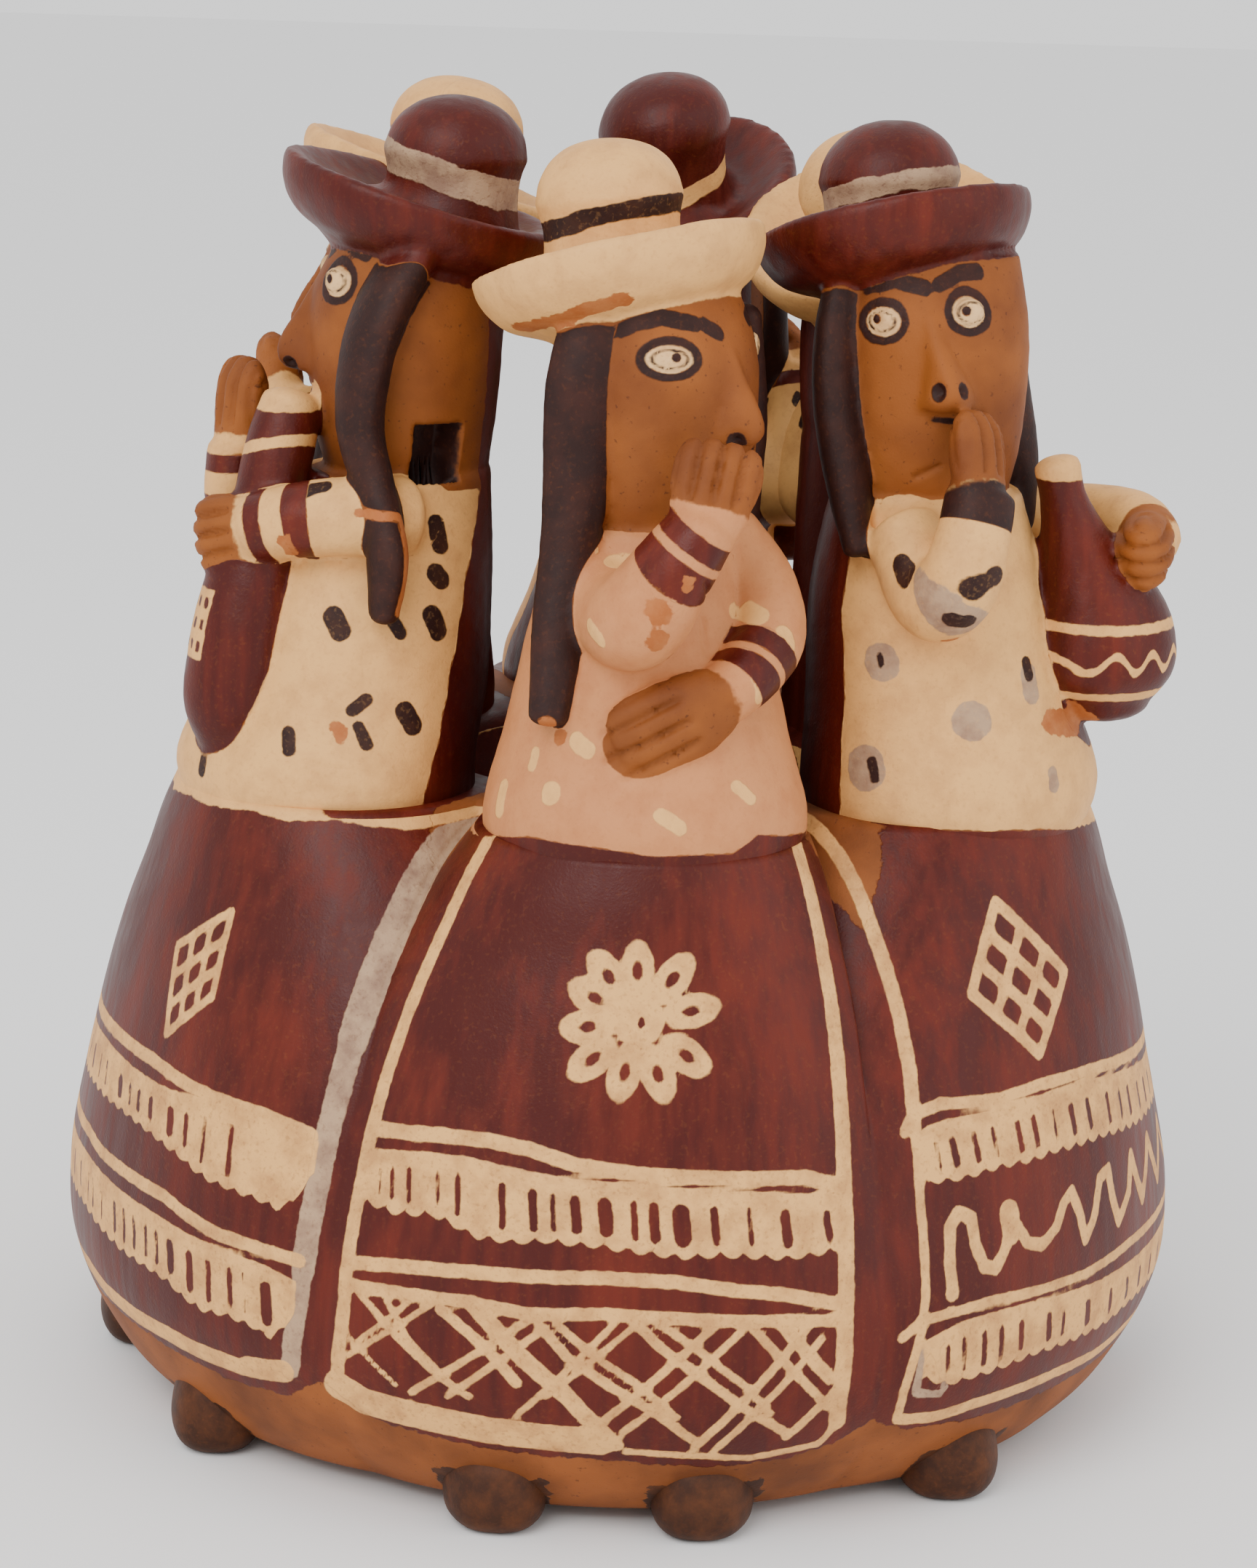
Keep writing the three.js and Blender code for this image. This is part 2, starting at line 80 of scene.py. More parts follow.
# Height, radius of the crest, half width and half depth of a skirt's oval, radius of the groove floor.
BELL = [[3, 74.5, 46, 31, 71.5], [8, 79.5, 50, 34, 76], [15, 83.6, 54, 35.5, 82.2],
    [23, 86.8, 56, 36.5, 85.2],
        [34, 87.6, 56, 37, 85.6], [50, 86, 51.5, 35.4, 82], [66, 82.9, 45.6, 32.5, 75.4],
        [77, 80.1, 40.6, 30.4, 68], [86, 77.4, 35, 27.8, 60], [94, 75.2, 30, 25, 51],
        [99.5, 73.2, 26, 23, 44]]
SHIFT_FROM, WAIST = 57, 99.5
WELL = [[31, 99], [22, 89], [12, 86.4]]
WELL_FLOOR = 86
FEET = [-88, -52, -12.6, 10.3, 41.7, 97, 128, 163, 192, 227, 252]
FOOT_RING = 75.5
FOOT = [[0.3, 0], [4.4, 0.1], [6.6, 1.6], [7.4, 4.4], [7.1, 8], [6.1, 10.8], [3.4, 13.2], [0.3, 14]]

# The women, as in the solid.
BRIM = [[0.5, -11], [0.62, -9.2], [0.83, -7], [0.96, -3.6], [1, -0.6], [0.985, 0.9], [0.9, 0.9],
        [0.72, -1.1], [0.56, -2.4]]
CROWN_RADIUS = 10
HEAD = [[-23, 10.8, 9.6, 12], [-13, 13.4, 12.9, 13.6], [-1, 14.4, 14, 14.8], [8, 14.1, 13.4, 14.9],
        [17, 12.4, 9, 13.2]]
FACE = 13.6
NOSTRIL, PUPIL, BROW = 1.5, 0.78, 1.15
# How far a hat's paint reaches below the underside of its brim, near the head and at the rim.
HAT_EDGE = (0.6, 3)
# The vent in the neck of the woman on the left, in her frame.
VENT_AT, VENT_HALF, VENT_DEPTH = [12.6, 42, 150], [7, 3.5, 4], 5.5

# Spots on the blouses, as strokes in the frame of each woman: half width and points.
FRONT_SPOTS = [
    (1.1, [[-9.6, 61.4, 142], [-9.6, 61.2, 140.6]]), (1.2, [[-2.4, 61, 141], [0.4, 60.4, 140]]),
    (1.1, [[-5.2, 70, 132.6], [-3, 71.2, 131.4]]), (1.7, [[16.8, 58.8, 133.2], [18.2, 60, 132.6]]),
    (1.1, [[21.6, 60.6, 130], [22.8, 62, 126.8]]), (1.2, [[18, 66.2, 125.4], [19, 67, 122.6]]),
    (1.3, [[-6.8, 66.8, 115.4], [-5, 67.4, 114.2]]), (1.5, [[-9.6, 67, 107.8], [-9.5, 67.1, 107.2]]),
    (1.2, [[-16.6, 60.2, 106.6], [-16.4, 60.6, 103.4]]), (1, [[15.6, 66.4, 109.2], [17.6, 65.8, 107.4]]),
    (1.1, [[5.6, 71.4, 106], [8, 71.4, 104.4]]), (0.9, [[-13.4, 63.8, 113], [-13.2, 64, 111]]),
]
RIGHT_SPOTS = [
    (1.7, [[-20.9, 58, 138.8], [-20, 59.8, 136.6]]), (1.3, [[-19.8, 68.8, 137.2], [-18.2, 71, 138.6]]),
    (1.25, [[-20.2, 66.8, 132.9], [-19.4, 68, 132.6]]), (0.55, [[-15.3, 52.5, 123.6], [-15.1, 52.9, 122.2]]),
    (0.8, [[-17.6, 53.5, 108.2], [-17.2, 54.2, 105.8]]), (0.9, [[-1.3, 69, 122.6], [-1.1, 69.4, 120.6]]),
]
RIGHT_SMUDGES = [
    (2.6, [[-15.2, 52.7, 122.9], [-15, 53, 122.4]]), (2.9, [[-17.6, 52.4, 107.6], [-17.4, 52.8, 106.6]]),
    (2.9, [[-10.6, 65.4, 114.9], [-10.4, 65.6, 114.7]]), (1.1, [[0.1, 73, 106], [0.1, 73.1, 104.4]]),
    (1.5, [[-1.2, 69.2, 121], [-1, 69.4, 117.6]]), (2.4, [[-19.2, 65.6, 134.8], [-19, 66, 134]]),
]
LEFT_SPOTS = [
    (1.2, [[11.4, 61.6, 144.6], [12.8, 60.2, 145.8]]), (1.4, [[15.2, 43.2, 140], [15.4, 43, 136.8]]),
    (1.5, [[16.9, 44.2, 133], [17, 43.4, 132]]), (1.6, [[13.6, 59, 127], [14.4, 58.2, 125]]),
    (1, [[17.6, 51.2, 126.2], [18.2, 50.4, 124.8]]), (1.5, [[17.7, 45.4, 127], [18, 44.4, 124.6]]),
    (1, [[17.2, 57.4, 113.6], [18.6, 56, 115.4]]), (1.5, [[19.7, 50.4, 113.4], [20, 49.4, 111.2]]),
    (1.1, [[13, 65.7, 110], [13.3, 65.2, 107.4]]), (0.9, [[18.6, 57.2, 111.4], [19.6, 56.4, 108.8]]),
    (1, [[-0.2, 72.6, 104], [-0.2, 72.7, 102.2]]),
]
# Places where the slip is rubbed off: sleeves, the underside of a brim, the tip and the tie of a braid.
FRONT_RUBBED = [
    (1.3, [[4.4, 74.3, 136.6], [4.3, 74.2, 135.8]]), (1.1, [[4.1, 73.6, 133], [3.9, 73.2, 132.2]]),
    (0.8, [[8.2, 74.9, 140.6], [8, 74.9, 139.8]]), (1.5, [[-10.9, 68, 117.6], [-10.8, 67.6, 116.8]]),
]
FRONT_BRIM_RUBBED = [(1.6, [[-17, 50, 170.4], [-12, 56.5, 173], [-7, 60, 175.4], [-2, 61, 176.6]])]
RIGHT_RUBBED = [
    (1, [[-17.8, 64.1, 130.8], [-17.4, 64.6, 129.8]]), (0.5, [[-18, 66, 138.4], [-18, 66.2, 137]]),
    (2, [[2, 71.4, 113.4], [10, 73.6, 112.4]]),
]
LEFT_RUBBED = [
    (1, [[17.2, 60, 111.4], [17.6, 59.4, 109.8]]), (1.1, [[10.4, 65, 138.4], [10.8, 64.4, 136.4]]),
    (1.1, [[22, 52.2, 141.4], [23.6, 52, 136], [22.4, 52.6, 129]]),
    (0.8, [[18.6, 57.2, 143.2], [21.3, 55.4, 142.9], [21.8, 52.6, 142.6]]),
]
FRONT_CRACK = [(0.1, [[10.2, 73.2, 140], [10.4, 61.5, 132.5], [11.1, 63, 127.6], [13, 62.4, 125.6]])]
RIGHT_CRACK = [(0.1, [[-11.3, 54.9, 149.8], [-9.7, 57.6, 151.6]])]
LEFT_SCRATCHES = [(0.1, [[15.5, 65.5, up], [20.6, 58.2, up - 0.8]]) for up in (106, 104.9, 104.2, 103.2,
    102.4)]

FRONT = {
    "name": "woman_front", "azimuth": -0.9,
    "trunk": [[92, 3, 50, 22, 21], [101, 3.2, 51.6, 23.6, 21.8], [114, 3, 50, 20.4, 19.4],
              [130, 2.8, 47.4, 16.8, 17.2], [143.5, 3.2, 45.3, 13.2, 13.6]],
    "head": [3.3, 45.3, 160.5], "turn": 51, "bridge": 0, "collar": 143.2, "back": -7,
    "hat": {"at": [-3.2, 42.3, 180.7], "radius": 21.4, "tilt": 18, "toward": 51, "foot": [-4, 41.7],
            "top": [-5.7, 40.2, 197.4]},
    "braids": [
        [[-5.5, 54, 174, 5, 3], [-7.7, 56, 165, 5, 3.2], [-8, 57, 152, 4.8, 3.2], [-8.8, 58.6, 141, 4.2, 3],
         [-9.8, 62, 130, 3.8, 2.8], [-10.9, 66, 118.5, 2.8, 2.2]],
        [[13, 37, 172, 4.5, 3], [14.5, 36, 158, 4.5, 3], [14.5, 36, 145, 4, 3], [16, 36, 130, 3, 2.4]]],
    "arms": [
        [[-7, 52, 138, 6, 6], [-1, 62.5, 132.6, 7, 6.5], [1.6, 67, 133.6, 8, 7], [6, 69, 140.4, 7.2, 6],
         [10.5, 69, 147, 5.9, 4.8]],
        [[13, 47, 141, 6, 6], [18.4, 51, 135, 5.6, 5.6], [20, 56, 129.7, 5.4, 5.4],
        [16.8, 62.5, 124.8, 5, 4.8],
         [13.5, 66, 122, 4.7, 4]]],
    "hands": [[[10.5, 68.6, 147], [12.6, 65.8, 157.5], 6.3, 3.8], [[12, 66.8, 121.3],
        [0.2, 69, 114.8], 6.6, 3.6]],
    "props": [],
    "eyes": [[-11, 8.2, 5, 3.1], [13, 8.3, 4.4, 3.2]],
    "brows": [[[-18.5, 11.8], [-16.1, 13], [-12.4, 13.8], [-6.5, 12.8]], [[-4.6, 12.6], [-2, 11.4]],
              [[9, 12.4], [14, 13], [18, 11.6]]],
    "nostrils": [[-2.3, 2.6, -3.3], [2.3, 2.6, -3.3]],
    "mouth": [(1, -6.6), (5, -6.5), (8.5, -6)], "band": [5.4, 1.35], "back_slope": 0,
    "cuffs": [[0, 0.6, 3.6], [0, 4.9, 8.3], [1, 3, 6], [1, 7.3, 10.7]],
    "slips": {"hat": "cream", "band": "dark", "fabric": "pink", "cuffs": "red"},
    "marks": [("cream", "fabric", FRONT_SPOTS), ("bare", None, FRONT_RUBBED),
              ("bare", "hat", FRONT_BRIM_RUBBED)],
    "cracks": [(0.4, FRONT_CRACK)],
}
RIGHT = {
    "name": "woman_right", "azimuth": 57.35,
    "trunk": [[92, 5, 51.5, 22, 21], [101, 5.5, 53.4, 24.6, 21.8], [114, 4.5, 52, 21.2, 20],
              [131, 2.8, 50, 17.5, 17.8], [146, 1, 50, 13.4, 14]],
    "head": [0.2, 50, 164], "turn": -50, "bridge": -2.4, "collar": 145.6, "back": -4.6,
    "hat": {"at": [0.9, 42.2, 185], "radius": 20.6, "tilt": 18, "toward": -15, "foot": [4.1, 40],
            "top": [5, 38.7, 199]},
    "braids": [
        [[-9, 41, 177, 4.5, 3], [-12.3, 41.5, 168, 4.6, 3.2], [-14, 43, 158, 4.4, 3.2],
        [-15, 45.5, 149, 3.8, 3],
         [-16, 48.5, 139, 2.6, 2.2]],
        [[8.4, 54, 177, 4.5, 3], [11, 55.4, 168, 4.5, 3.2], [13.2, 56.6, 158, 4.2, 3],
        [13.8, 58.6, 148, 3.2, 2.6],
         [13, 59.6, 140, 2.4, 2]]],
    "arms": [
        [[-12, 54, 141, 6, 6], [-17, 63, 133.5, 6.2, 6], [-18, 66.5, 137, 6, 5.6], [-16.5, 67.5, 143, 5.4, 5],
         [-14.3, 67.3, 148.5, 5.2, 4.4]],
        [[14, 50, 141, 6, 6], [23, 56, 139, 5.6, 5.6], [27, 66, 139.5, 5.6, 5.4], [23.5, 74, 140, 5, 4.8],
         [19, 78.5, 139, 4.6, 4.4]]],
    "hands": [[[-14.3, 67, 148.5], [-11.4, 64.4, 159.5], 5.6, 3.6], [[19.5, 77.5, 139.6],
        [10.5, 81.5, 137.4], 5.2, 4.2]],
    "props": [[[8.4, 67.6, 150.5, 3.6, 3.4], [9.2, 68.4, 146, 3.6, 3.4], [10.8, 69.6, 140, 5.4, 5],
               [13.4, 71.2, 132, 9.2, 8.6], [15.4, 72.4, 124.5, 12, 11], [16.2, 73, 118.5, 11, 10.2],
               [16.3, 73.2, 114.5, 7.4, 7]]],
    "eyes": [[-10.4, 8.1, 4.3, 3.4], [3.2, 10, 4, 3.5]],
    "brows": [[[-14.3, 12.6], [-9.4, 13.9], [-4, 13]], [[-1.8, 13.6], [2.4, 15.2], [6.6, 15.4]]],
    "nostrils": [[-2.3, 4, -1], [2.3, 4, -0.6]],
    "mouth": [(-1.8, -5.6), (2, -5.9), (5.7, -5)], "band": [4.3, 1.5], "back_slope": 0,
    "cuffs": [[0, -1, 4.2]],
    "slips": {"hat": "red", "band": "thin", "fabric": "cream", "cuffs": "dark"},
    "marks": [("dark", "fabric", RIGHT_SPOTS), ("smudge", "fabric", RIGHT_SMUDGES),
        ("bare", None, RIGHT_RUBBED)],
    "cracks": [(0.6, RIGHT_CRACK)],
}
LEFT = {
    "name": "woman_left", "azimuth": 300.5,
    "trunk": [[92, -2, 50, 22, 21], [101, -2.3, 52, 24.6, 21.8], [114, -1, 48.8, 21.2, 20.3],
              [131, 0, 45.8, 17.6, 18.1], [146, 0, 42, 13.4, 14.2]],
    "head": [0, 41.3, 164.5], "turn": -28, "bridge": 0, "collar": 143.4, "back": -7.2,
    "hat": {"at": [-0.8, 38, 186], "radius": 21.2, "tilt": 16.5, "toward": -28, "foot": [1.3, 34],
            "top": [1.7, 33.3, 201]},
    "braids": [
        [[12, 46, 179, 4.8, 3.2], [12.6, 51.2, 172, 5.6, 3.6], [13, 54.3, 162, 5, 3.6],
         [13.6, 55, 154, 4, 3.4], [16.2, 54.2, 147, 3.4, 3], [19, 53.9, 142, 3.1, 2.8],
         [20.4, 53.8, 136, 3.9, 3], [20, 54, 128, 2.6, 2.2]],
        [[-12, 42, 176, 4.5, 3], [-14, 43, 162, 4.5, 3.2], [-14.6, 45, 148, 3.6, 3],
        [-16, 49, 134, 2.6, 2.2]]],
    "arms": [
        [[13, 48, 141, 6, 6], [13.5, 55, 141.6, 6, 5.6], [8.5, 61.5, 140.6, 5.6, 5.4],
        [3, 66.5, 138.8, 5.2, 5.2]],
        [[-11, 51, 140, 6, 6], [-14.5, 57, 137.5, 5.6, 5.4], [-13, 61.5, 140, 5.4, 5],
        [-13, 62, 148, 5.2, 4.6]]],
    "hands": [[[3, 66.5, 138.8], [-4.5, 71.6, 136.4], 6, 4], [[-13, 61.8, 148],
        [-14, 60.6, 160.5], 5.6, 3.6]],
    "props": [[[-2, 58.6, 156.5, 4.6, 4.4], [-1.6, 60, 152, 5.2, 5], [-0.8, 63, 141, 5.4, 5.2],
               [-0.2, 65.6, 130, 7.2, 6.8], [-0.4, 67.6, 119, 8, 7.4], [-0.7, 68.6, 110, 7, 6.6],
               [-0.8, 68.8, 105.5, 4.6, 4.4]]],
    "eyes": [[10.6, 10.1, 4.2, 3.5], [-8, 10.1, 4.2, 3.5]],
    "brows": [[[3, 13.6], [8, 15.8], [15.6, 14.4]], [[-3, 14], [-8, 16], [-14, 14.2]]],
    "nostrils": [[-2.2, 3, -3.4], [2.2, 3, -3.4]],
    "mouth": [(-3, -6.8), (2, -6.8), (6, -6.4)], "band": [4.6, 2.3], "back_slope": 0.1,
    "cuffs": [[0, 0.2, 2.9], [0, 6.4, 9.4], [1, 0.2, 2.9], [1, 6.4, 9.4]],
    "slips": {"hat": "red", "band": "thin", "fabric": "cream", "cuffs": "red"},
    "marks": [("dark", "fabric", LEFT_SPOTS), ("bare", None, LEFT_RUBBED)],
    "cracks": [(0.22, LEFT_SCRATCHES)],
}


def back_woman(name, azimuth, turn, slim, head, hat, props, slips):
    """A plainer sister: the arm on the side she turns to is raised, the other hand lies on her belly."""
    side = math.copysign(1, turn)
    across, out = head[0], head[1]
    return {
        "name": name, "azimuth": azimuth, "head": head, "turn": turn, "bridge": 0, "collar": 142.5,
        "back": -5,
        "hat": hat, "props": props,
        "trunk": [[92, 0, 51, 22, 21], [101, 0, 52.5, 24, 21.8], [114, across / 3, 50.5, 20.8 * slim, 19.8],
                  [131, across * 0.7, 48, 17.3 * slim, 17.4], [146, across, out, 13.2, 13.8]],
        "braids": [[[across + hand * 12, out - 2, 174, 4.6, 3],
            [across + hand * 14.4, out + 2, 155, 4.4, 3.1],
                    [across + hand * 15, 55, 134, 2.8, 2.4]] for hand in (-1, 1)],
        "arms": [
            [[across + side * 9, 47, 141, 6, 6], [across + side * 19.5, 44.5, 135, 7.6, 7.4],
             [across + side * 21.5, 46, 143, 7, 6.6], [across + side * 21, 50, 151, 5.4, 5]],
            [[across - side * 8, 52, 140, 6, 6], [-side * 9.5, 60, 131, 5.6, 5.6],
            [-side * 8, 65, 125, 5, 4.8],
             [-side * 5, 68, 121, 4.7, 4.2]]],
        "hands": [[[across + side * 20.4, 51.6, 152], [across + side * 13, 57.5, 157], 5.4, 3.6],
                  [[-side * 5, 68, 121], [side * 5, 70.5, 117], 6, 3.6]],
        "eyes": [[-8, 8.5, 4.4, 3.4], [8, 8.5, 4.4, 3.4]],
        "brows": [[[-14, 12.4], [-9, 14.2], [-3.6, 12.8]], [[3.6, 12.8], [9, 14.2], [14, 12.4]]],
        "nostrils": [[-2.2, 3, -3.4], [2.2, 3, -3.4]],
        "mouth": [(-3.4, -6.6), (0, -6.9), (3.4, -6.6)], "band": [3.5, 1.4], "back_slope": 0,
        "cuffs": [[0, 0.4, 3], [1, 0.4, 3]], "marks": None, "cracks": [],
        "slips": {"hat": slips[0], "band": slips[1], "fabric": "cream", "cuffs": "red"},
    }


BABY = [[-8, 69, 133, 5, 4.6], [-3, 70.5, 127, 7, 6], [4, 71, 119, 7, 6], [9, 70, 113, 5, 4.6]]
POT = [[-23.5, 52, 133, 3.4, 3.4], [-23.5, 52, 129.6, 6.2, 6], [-23.5, 52, 125, 6.4, 6.2],
    [-23.5, 52, 121.6, 4, 4]]
BACK_RIGHT = back_woman("woman_back_right", 118, 45, 0.9, [1, 44.9, 160],
                        {"at": [0.8, 41.2, 179], "radius": 21.6, "tilt": 27, "toward": 42, "foot": [-1.2, 39],
                         "top": [-6.2, 33.4, 193.3]}, [BABY], ("cream", "smudge"))
BACK = back_woman("woman_back", 178, -30, 1, [-3.6, 45.2, 162],
                  {"at": [-1.5, 44.1, 182], "radius": 21.2, "tilt": 27, "toward": -28, "foot": [-1, 42],
                   "top": [-0.8, 36.5, 200.2]}, [POT], ("red", "cream"))
BACK_LEFT = back_woman("woman_back_left", 238.75, 40, 1, [2.6, 41.6, 164],
                       {"at": [0.3, 38.4, 185.5], "radius": 21.4, "tilt": 18, "toward": 40, "foot": [-1,
                           36.5],
                        "top": [-2.5, 35.4, 200.6]}, [], ("cream", "smudge"))
WOMEN = [FRONT, RIGHT, BACK_RIGHT, BACK, BACK_LEFT, LEFT]

# Height of the blouse's lower edge, by azimuth.
BLOUSE_HEM = [(-70, 96.5), (-62.2, 97.7), (-57.7, 97.5), (-50.7, 98.4), (-45.8, 97.8), (-40.4, 98.5),
    (-33, 97.2),
              (-28.5, 97.5), (-20.7, 98.6), (-11.9, 101.3), (-8.2, 101.6), (-3, 101.3), (2, 100.8),
              (11.9, 100.6),
              (15.1, 102.8), (22.3, 101), (27, 100), (34.9, 99.5), (45.7, 99.1), (51, 99), (63.3, 96.6),
              (75, 94.5),
              (85, 92), (95, 95), (120, 98), (290, 97)]

# Brush strokes on the three skirts in view, as (azimuth, height) points with the half width in mm.
FRONT_STROKES = [
    (1.15, [(-17.8, 101), (-20.1, 94), (-22.3, 85), (-24, 76), (-25.3, 66), (-25.9, 58), (-26.3, 48),
    (-26.5, 39),
            (-26.7, 30), (-27.8, 20)]),
    (1.35, [(21.4, 102), (22.3, 95), (22.9, 88), (23.1, 79), (23.1, 71), (23, 61), (22.7, 49), (22.4, 39),
            (22.3, 30), (22.4, 19)]),
    (1.05, [(-24.9, 59.4), (-17.9, 60.4), (-12.9, 60.7), (-8.5, 60.1), (-4.2, 58.5), (0.7, 57.6), (5.6, 57.1),
            (12.7, 56.5), (18.4, 56), (22.5, 53.9)]),
    (1, [(-25.8, 40.5), (-20.8, 41.4), (-14.2, 42.1), (-7.9, 42.4), (-1.1, 42.8), (5.7, 42.3), (10.9, 41),
         (16.2, 39.8), (21.8, 37.6)]),
    (0.95, [(-25.9, 37.3), (-20.6, 37.6), (-13.6, 37.8), (-7.7, 37), (-0.9, 37.6), (5.8, 37.1), (12, 36.4),
            (16.2, 36.1), (21.7, 35.2)]),
    (0.6, [(-25.3, 37.1), (-21.3, 31.8), (-16.3, 26), (-13.5, 23.5)]),
    (0.5, [(-22, 36.4), (-19.6, 31.1), (-15.3, 25.4)]),
    (0.85, [(-16.4, 36.2), (-12.1, 31.7), (-8.9, 26.6)]),
    (1.3, [(-13.3, 37.6), (-8.9, 31.1), (-4.1, 24.9), (0.4, 17.1)]),
    (0.75, [(-7, 35.7), (-4.2, 31), (-0.8, 27.5), (4.4, 22.4), (8.5, 17.1)]),
    (0.6, [(-5.3, 35.8), (-1.2, 30.8), (2.6, 27), (6.2, 21.8)]),
    (0.75, [(2.1, 36.3), (4.5, 32.6), (8, 28.7), (12.4, 23.3), (17.2, 18.1)]),
    (0.6, [(4.1, 36.3), (7.2, 33.2), (13, 26), (15.3, 21.7)]),
    (0.7, [(13, 35.4), (16, 30.2), (18.7, 25.8), (21.2, 21.9)]),
    (1, [(15.8, 35.7), (20.9, 26.6)]),
    (0.4, [(-26.3, 30.3), (-20.8, 23.5)]),
    (0.45, [(-26.3, 26.3), (-17.2, 36.9)]), (0.4, [(-25.5, 28.3), (-19.6, 36.5)]),
    (0.6, [(-19.3, 22.8), (-7.7, 36.4)]), (0.55, [(-15.6, 23.1), (-6.3, 35.2)]),
    (0.5, [(-8.9, 21.3), (0.1, 36.3)]), (0.5, [(-6.2, 24.7), (1.8, 35.8)]),
    (0.65, [(-1.3, 20.3), (9.6, 36.2)]), (0.6, [(1.1, 19.1), (12, 35)]),
    (0.7, [(8.2, 16.5), (18.4, 34.8)]), (0.6, [(10.1, 15.6), (19.9, 32.9)]), (0.7, [(17.3, 17.4),
    (21.4, 24.2)]),
    (2.4, [(-27.4, 21.4), (-24.6, 19.6), (-20.1, 19), (-12, 18), (-4.1, 17.6), (-1, 17.4)]),
    (0.6, [(1.5, 15.8), (8.7, 14.8), (14, 13.9), (21, 15.3), (22.8, 19.4)]),
]
FRONT_FRINGE = {
    "top": [(-25.5, 56.6), (-19.6, 57.8), (-14.9, 58.1), (-9.7, 57.3), (-4.8, 56.6), (0.7, 56.2), (5.6, 55.6),
            (12.7, 54.8), (22.6, 53)],
    "foot": [(-25.6, 49), (-21.7, 48.2), (-17.8, 49), (-13.3, 46.8), (-10, 46.6), (-6.3, 47.2), (-1.8, 46.9),
             (0.9, 46.4), (6, 45.4), (9.5, 45.6), (12.7, 45.2), (16.6, 44.6), (22.6, 45)],
    "slots": [(-24.1, 0.2), (-22.7, 0.35), (-20.8, 0.4), (-17.7, 0.3), (-15.6, 0.42), (-11.1, 0.5),
        (-8.1, 0.65),
              (-6.2, 0.4), (-4, 0.75), (-1.2, 1.05), (1.5, 0.5), (3.4, 0.75), (6, 1.25), (9.2, 0.6),
              (12.6, 0.35),
              (16.2, 0.8), (20.6, 0.6)],
}
RIGHT_STROKES = [
    (1.1, [(31.8, 101), (32.2, 94), (32.2, 77), (32, 68), (31.4, 60)]),
    (0.75, [(31.4, 60), (31.1, 47), (31, 37), (30.6, 32), (29.6, 26), (29.2, 18)]),
    (0.85, [(30.3, 60), (31.4, 62.2), (34.6, 63.4), (41.6, 62.8), (47.4, 63.4), (55.9, 63), (69.1, 61),
    (84, 60)]),
    (0.8, [(28.5, 31.2), (30.7, 33.4), (33.1, 33.7), (39.2, 34.3), (45.1, 33.7), (53.2, 33.4),
    (62.4, 34.2), (84, 34)]),
    (1.05, [(29.6, 17.6), (34.1, 16.8), (38.3, 17.5), (44.3, 17.7), (51.2, 17.9), (59.9, 17.2), (66.2, 17.7),
            (84, 17.4)]),
    (1, [(34, 37), (33.8, 41), (34.1, 46.2), (35.2, 48.1), (36.7, 47), (36.9, 43), (37.9, 39.6), (39.4, 38.9),
         (40.8, 41.9), (41.8, 46.1)]),
    (1.9, [(41.4, 46.6), (41.7, 43.6)]),
    (0.95, [(42.5, 44.1), (43.6, 41.5), (45.7, 40.4), (48, 42.3), (49.3, 45.5), (50.7, 46.8), (51.8, 43.2),
            (52.7, 38.7), (54.5, 41.7), (55.9, 46.8), (57.7, 47.5), (58.2, 43.1), (59.5, 38.7), (62.3, 42.2),
            (63.5, 47.4), (64.8, 43), (66.2, 39.3), (68, 43), (69.6, 47.4), (71.4, 43), (73, 39.4), (75, 43),
            (77, 47), (79, 42), (81, 39.6)]),
    (1.2, [(34, 37), (34, 36.6)]),
]
RIGHT_FRINGES = [
    {"top": [(31, 58.6), (32.6, 60.6), (34.8, 61.2), (41.2, 61.6), (47.1, 62), (55.4, 61.8), (71.5, 58.6),
        (84, 58)],
     "foot": [(31, 52.6), (35.8, 52.4), (40.3, 53), (44.4, 52.8), (48.9, 53), (57, 52.4), (67.5, 50.6),
         (84, 50)],
     "slots": [(33.4, 0.3), (35.3, 0.6), (37.9, 0.5), (40.3, 0.35), (43.6, 0.55), (45.9, 0.55), (48.9, 0.3),
               (51.9, 0.6), (54.9, 0.55), (59, 0.5), (62, 0.4), (64.6, 0.5), (68, 0.4), (71, 0.5),
               (74, 0.4), (78, 0.5)]},
    {"top": [(31, 30.2), (33.2, 31.4), (35.7, 32.3), (41.1, 32.5), (48, 31.9), (55.8, 31.2), (64.7, 31),
        (84, 31)],
     "foot": [(31, 24), (34.2, 22.2), (40.1, 22.6), (45.2, 23.2), (52.3, 22.8), (58.2, 22.6),
         (64.4, 23.4), (84, 23)],
     "slots": [(33.6, 0.4), (35.5, 0.4), (38, 0.5), (40.2, 0.5), (42.9, 0.55), (47, 0.65), (49.3, 0.4),
         (53.6, 0.7),
               (58.3, 0.5), (62.3, 0.5), (66, 0.5), (70, 0.5), (74, 0.5), (78, 0.5)]},
]
GREY_STROKES = [
    (2.35, [(-28.6, 101), (-29.2, 94), (-29.7, 85), (-30.1, 77), (-30.4, 70)]),
    (1.95, [(-30.4, 70), (-30.6, 64), (-30.9, 56), (-31.1, 47), (-31.3, 38)]),
    (1.6, [(-31.3, 38), (-31.8, 30), (-32.8, 22)]),
    (1, [(30.4, 28.6), (32.6, 29.8)]), (0.7, [(30.8, 28.4), (30.6, 22), (33.6, 21)]), (0.5, [(32, 29),
    (34, 22)]),
]
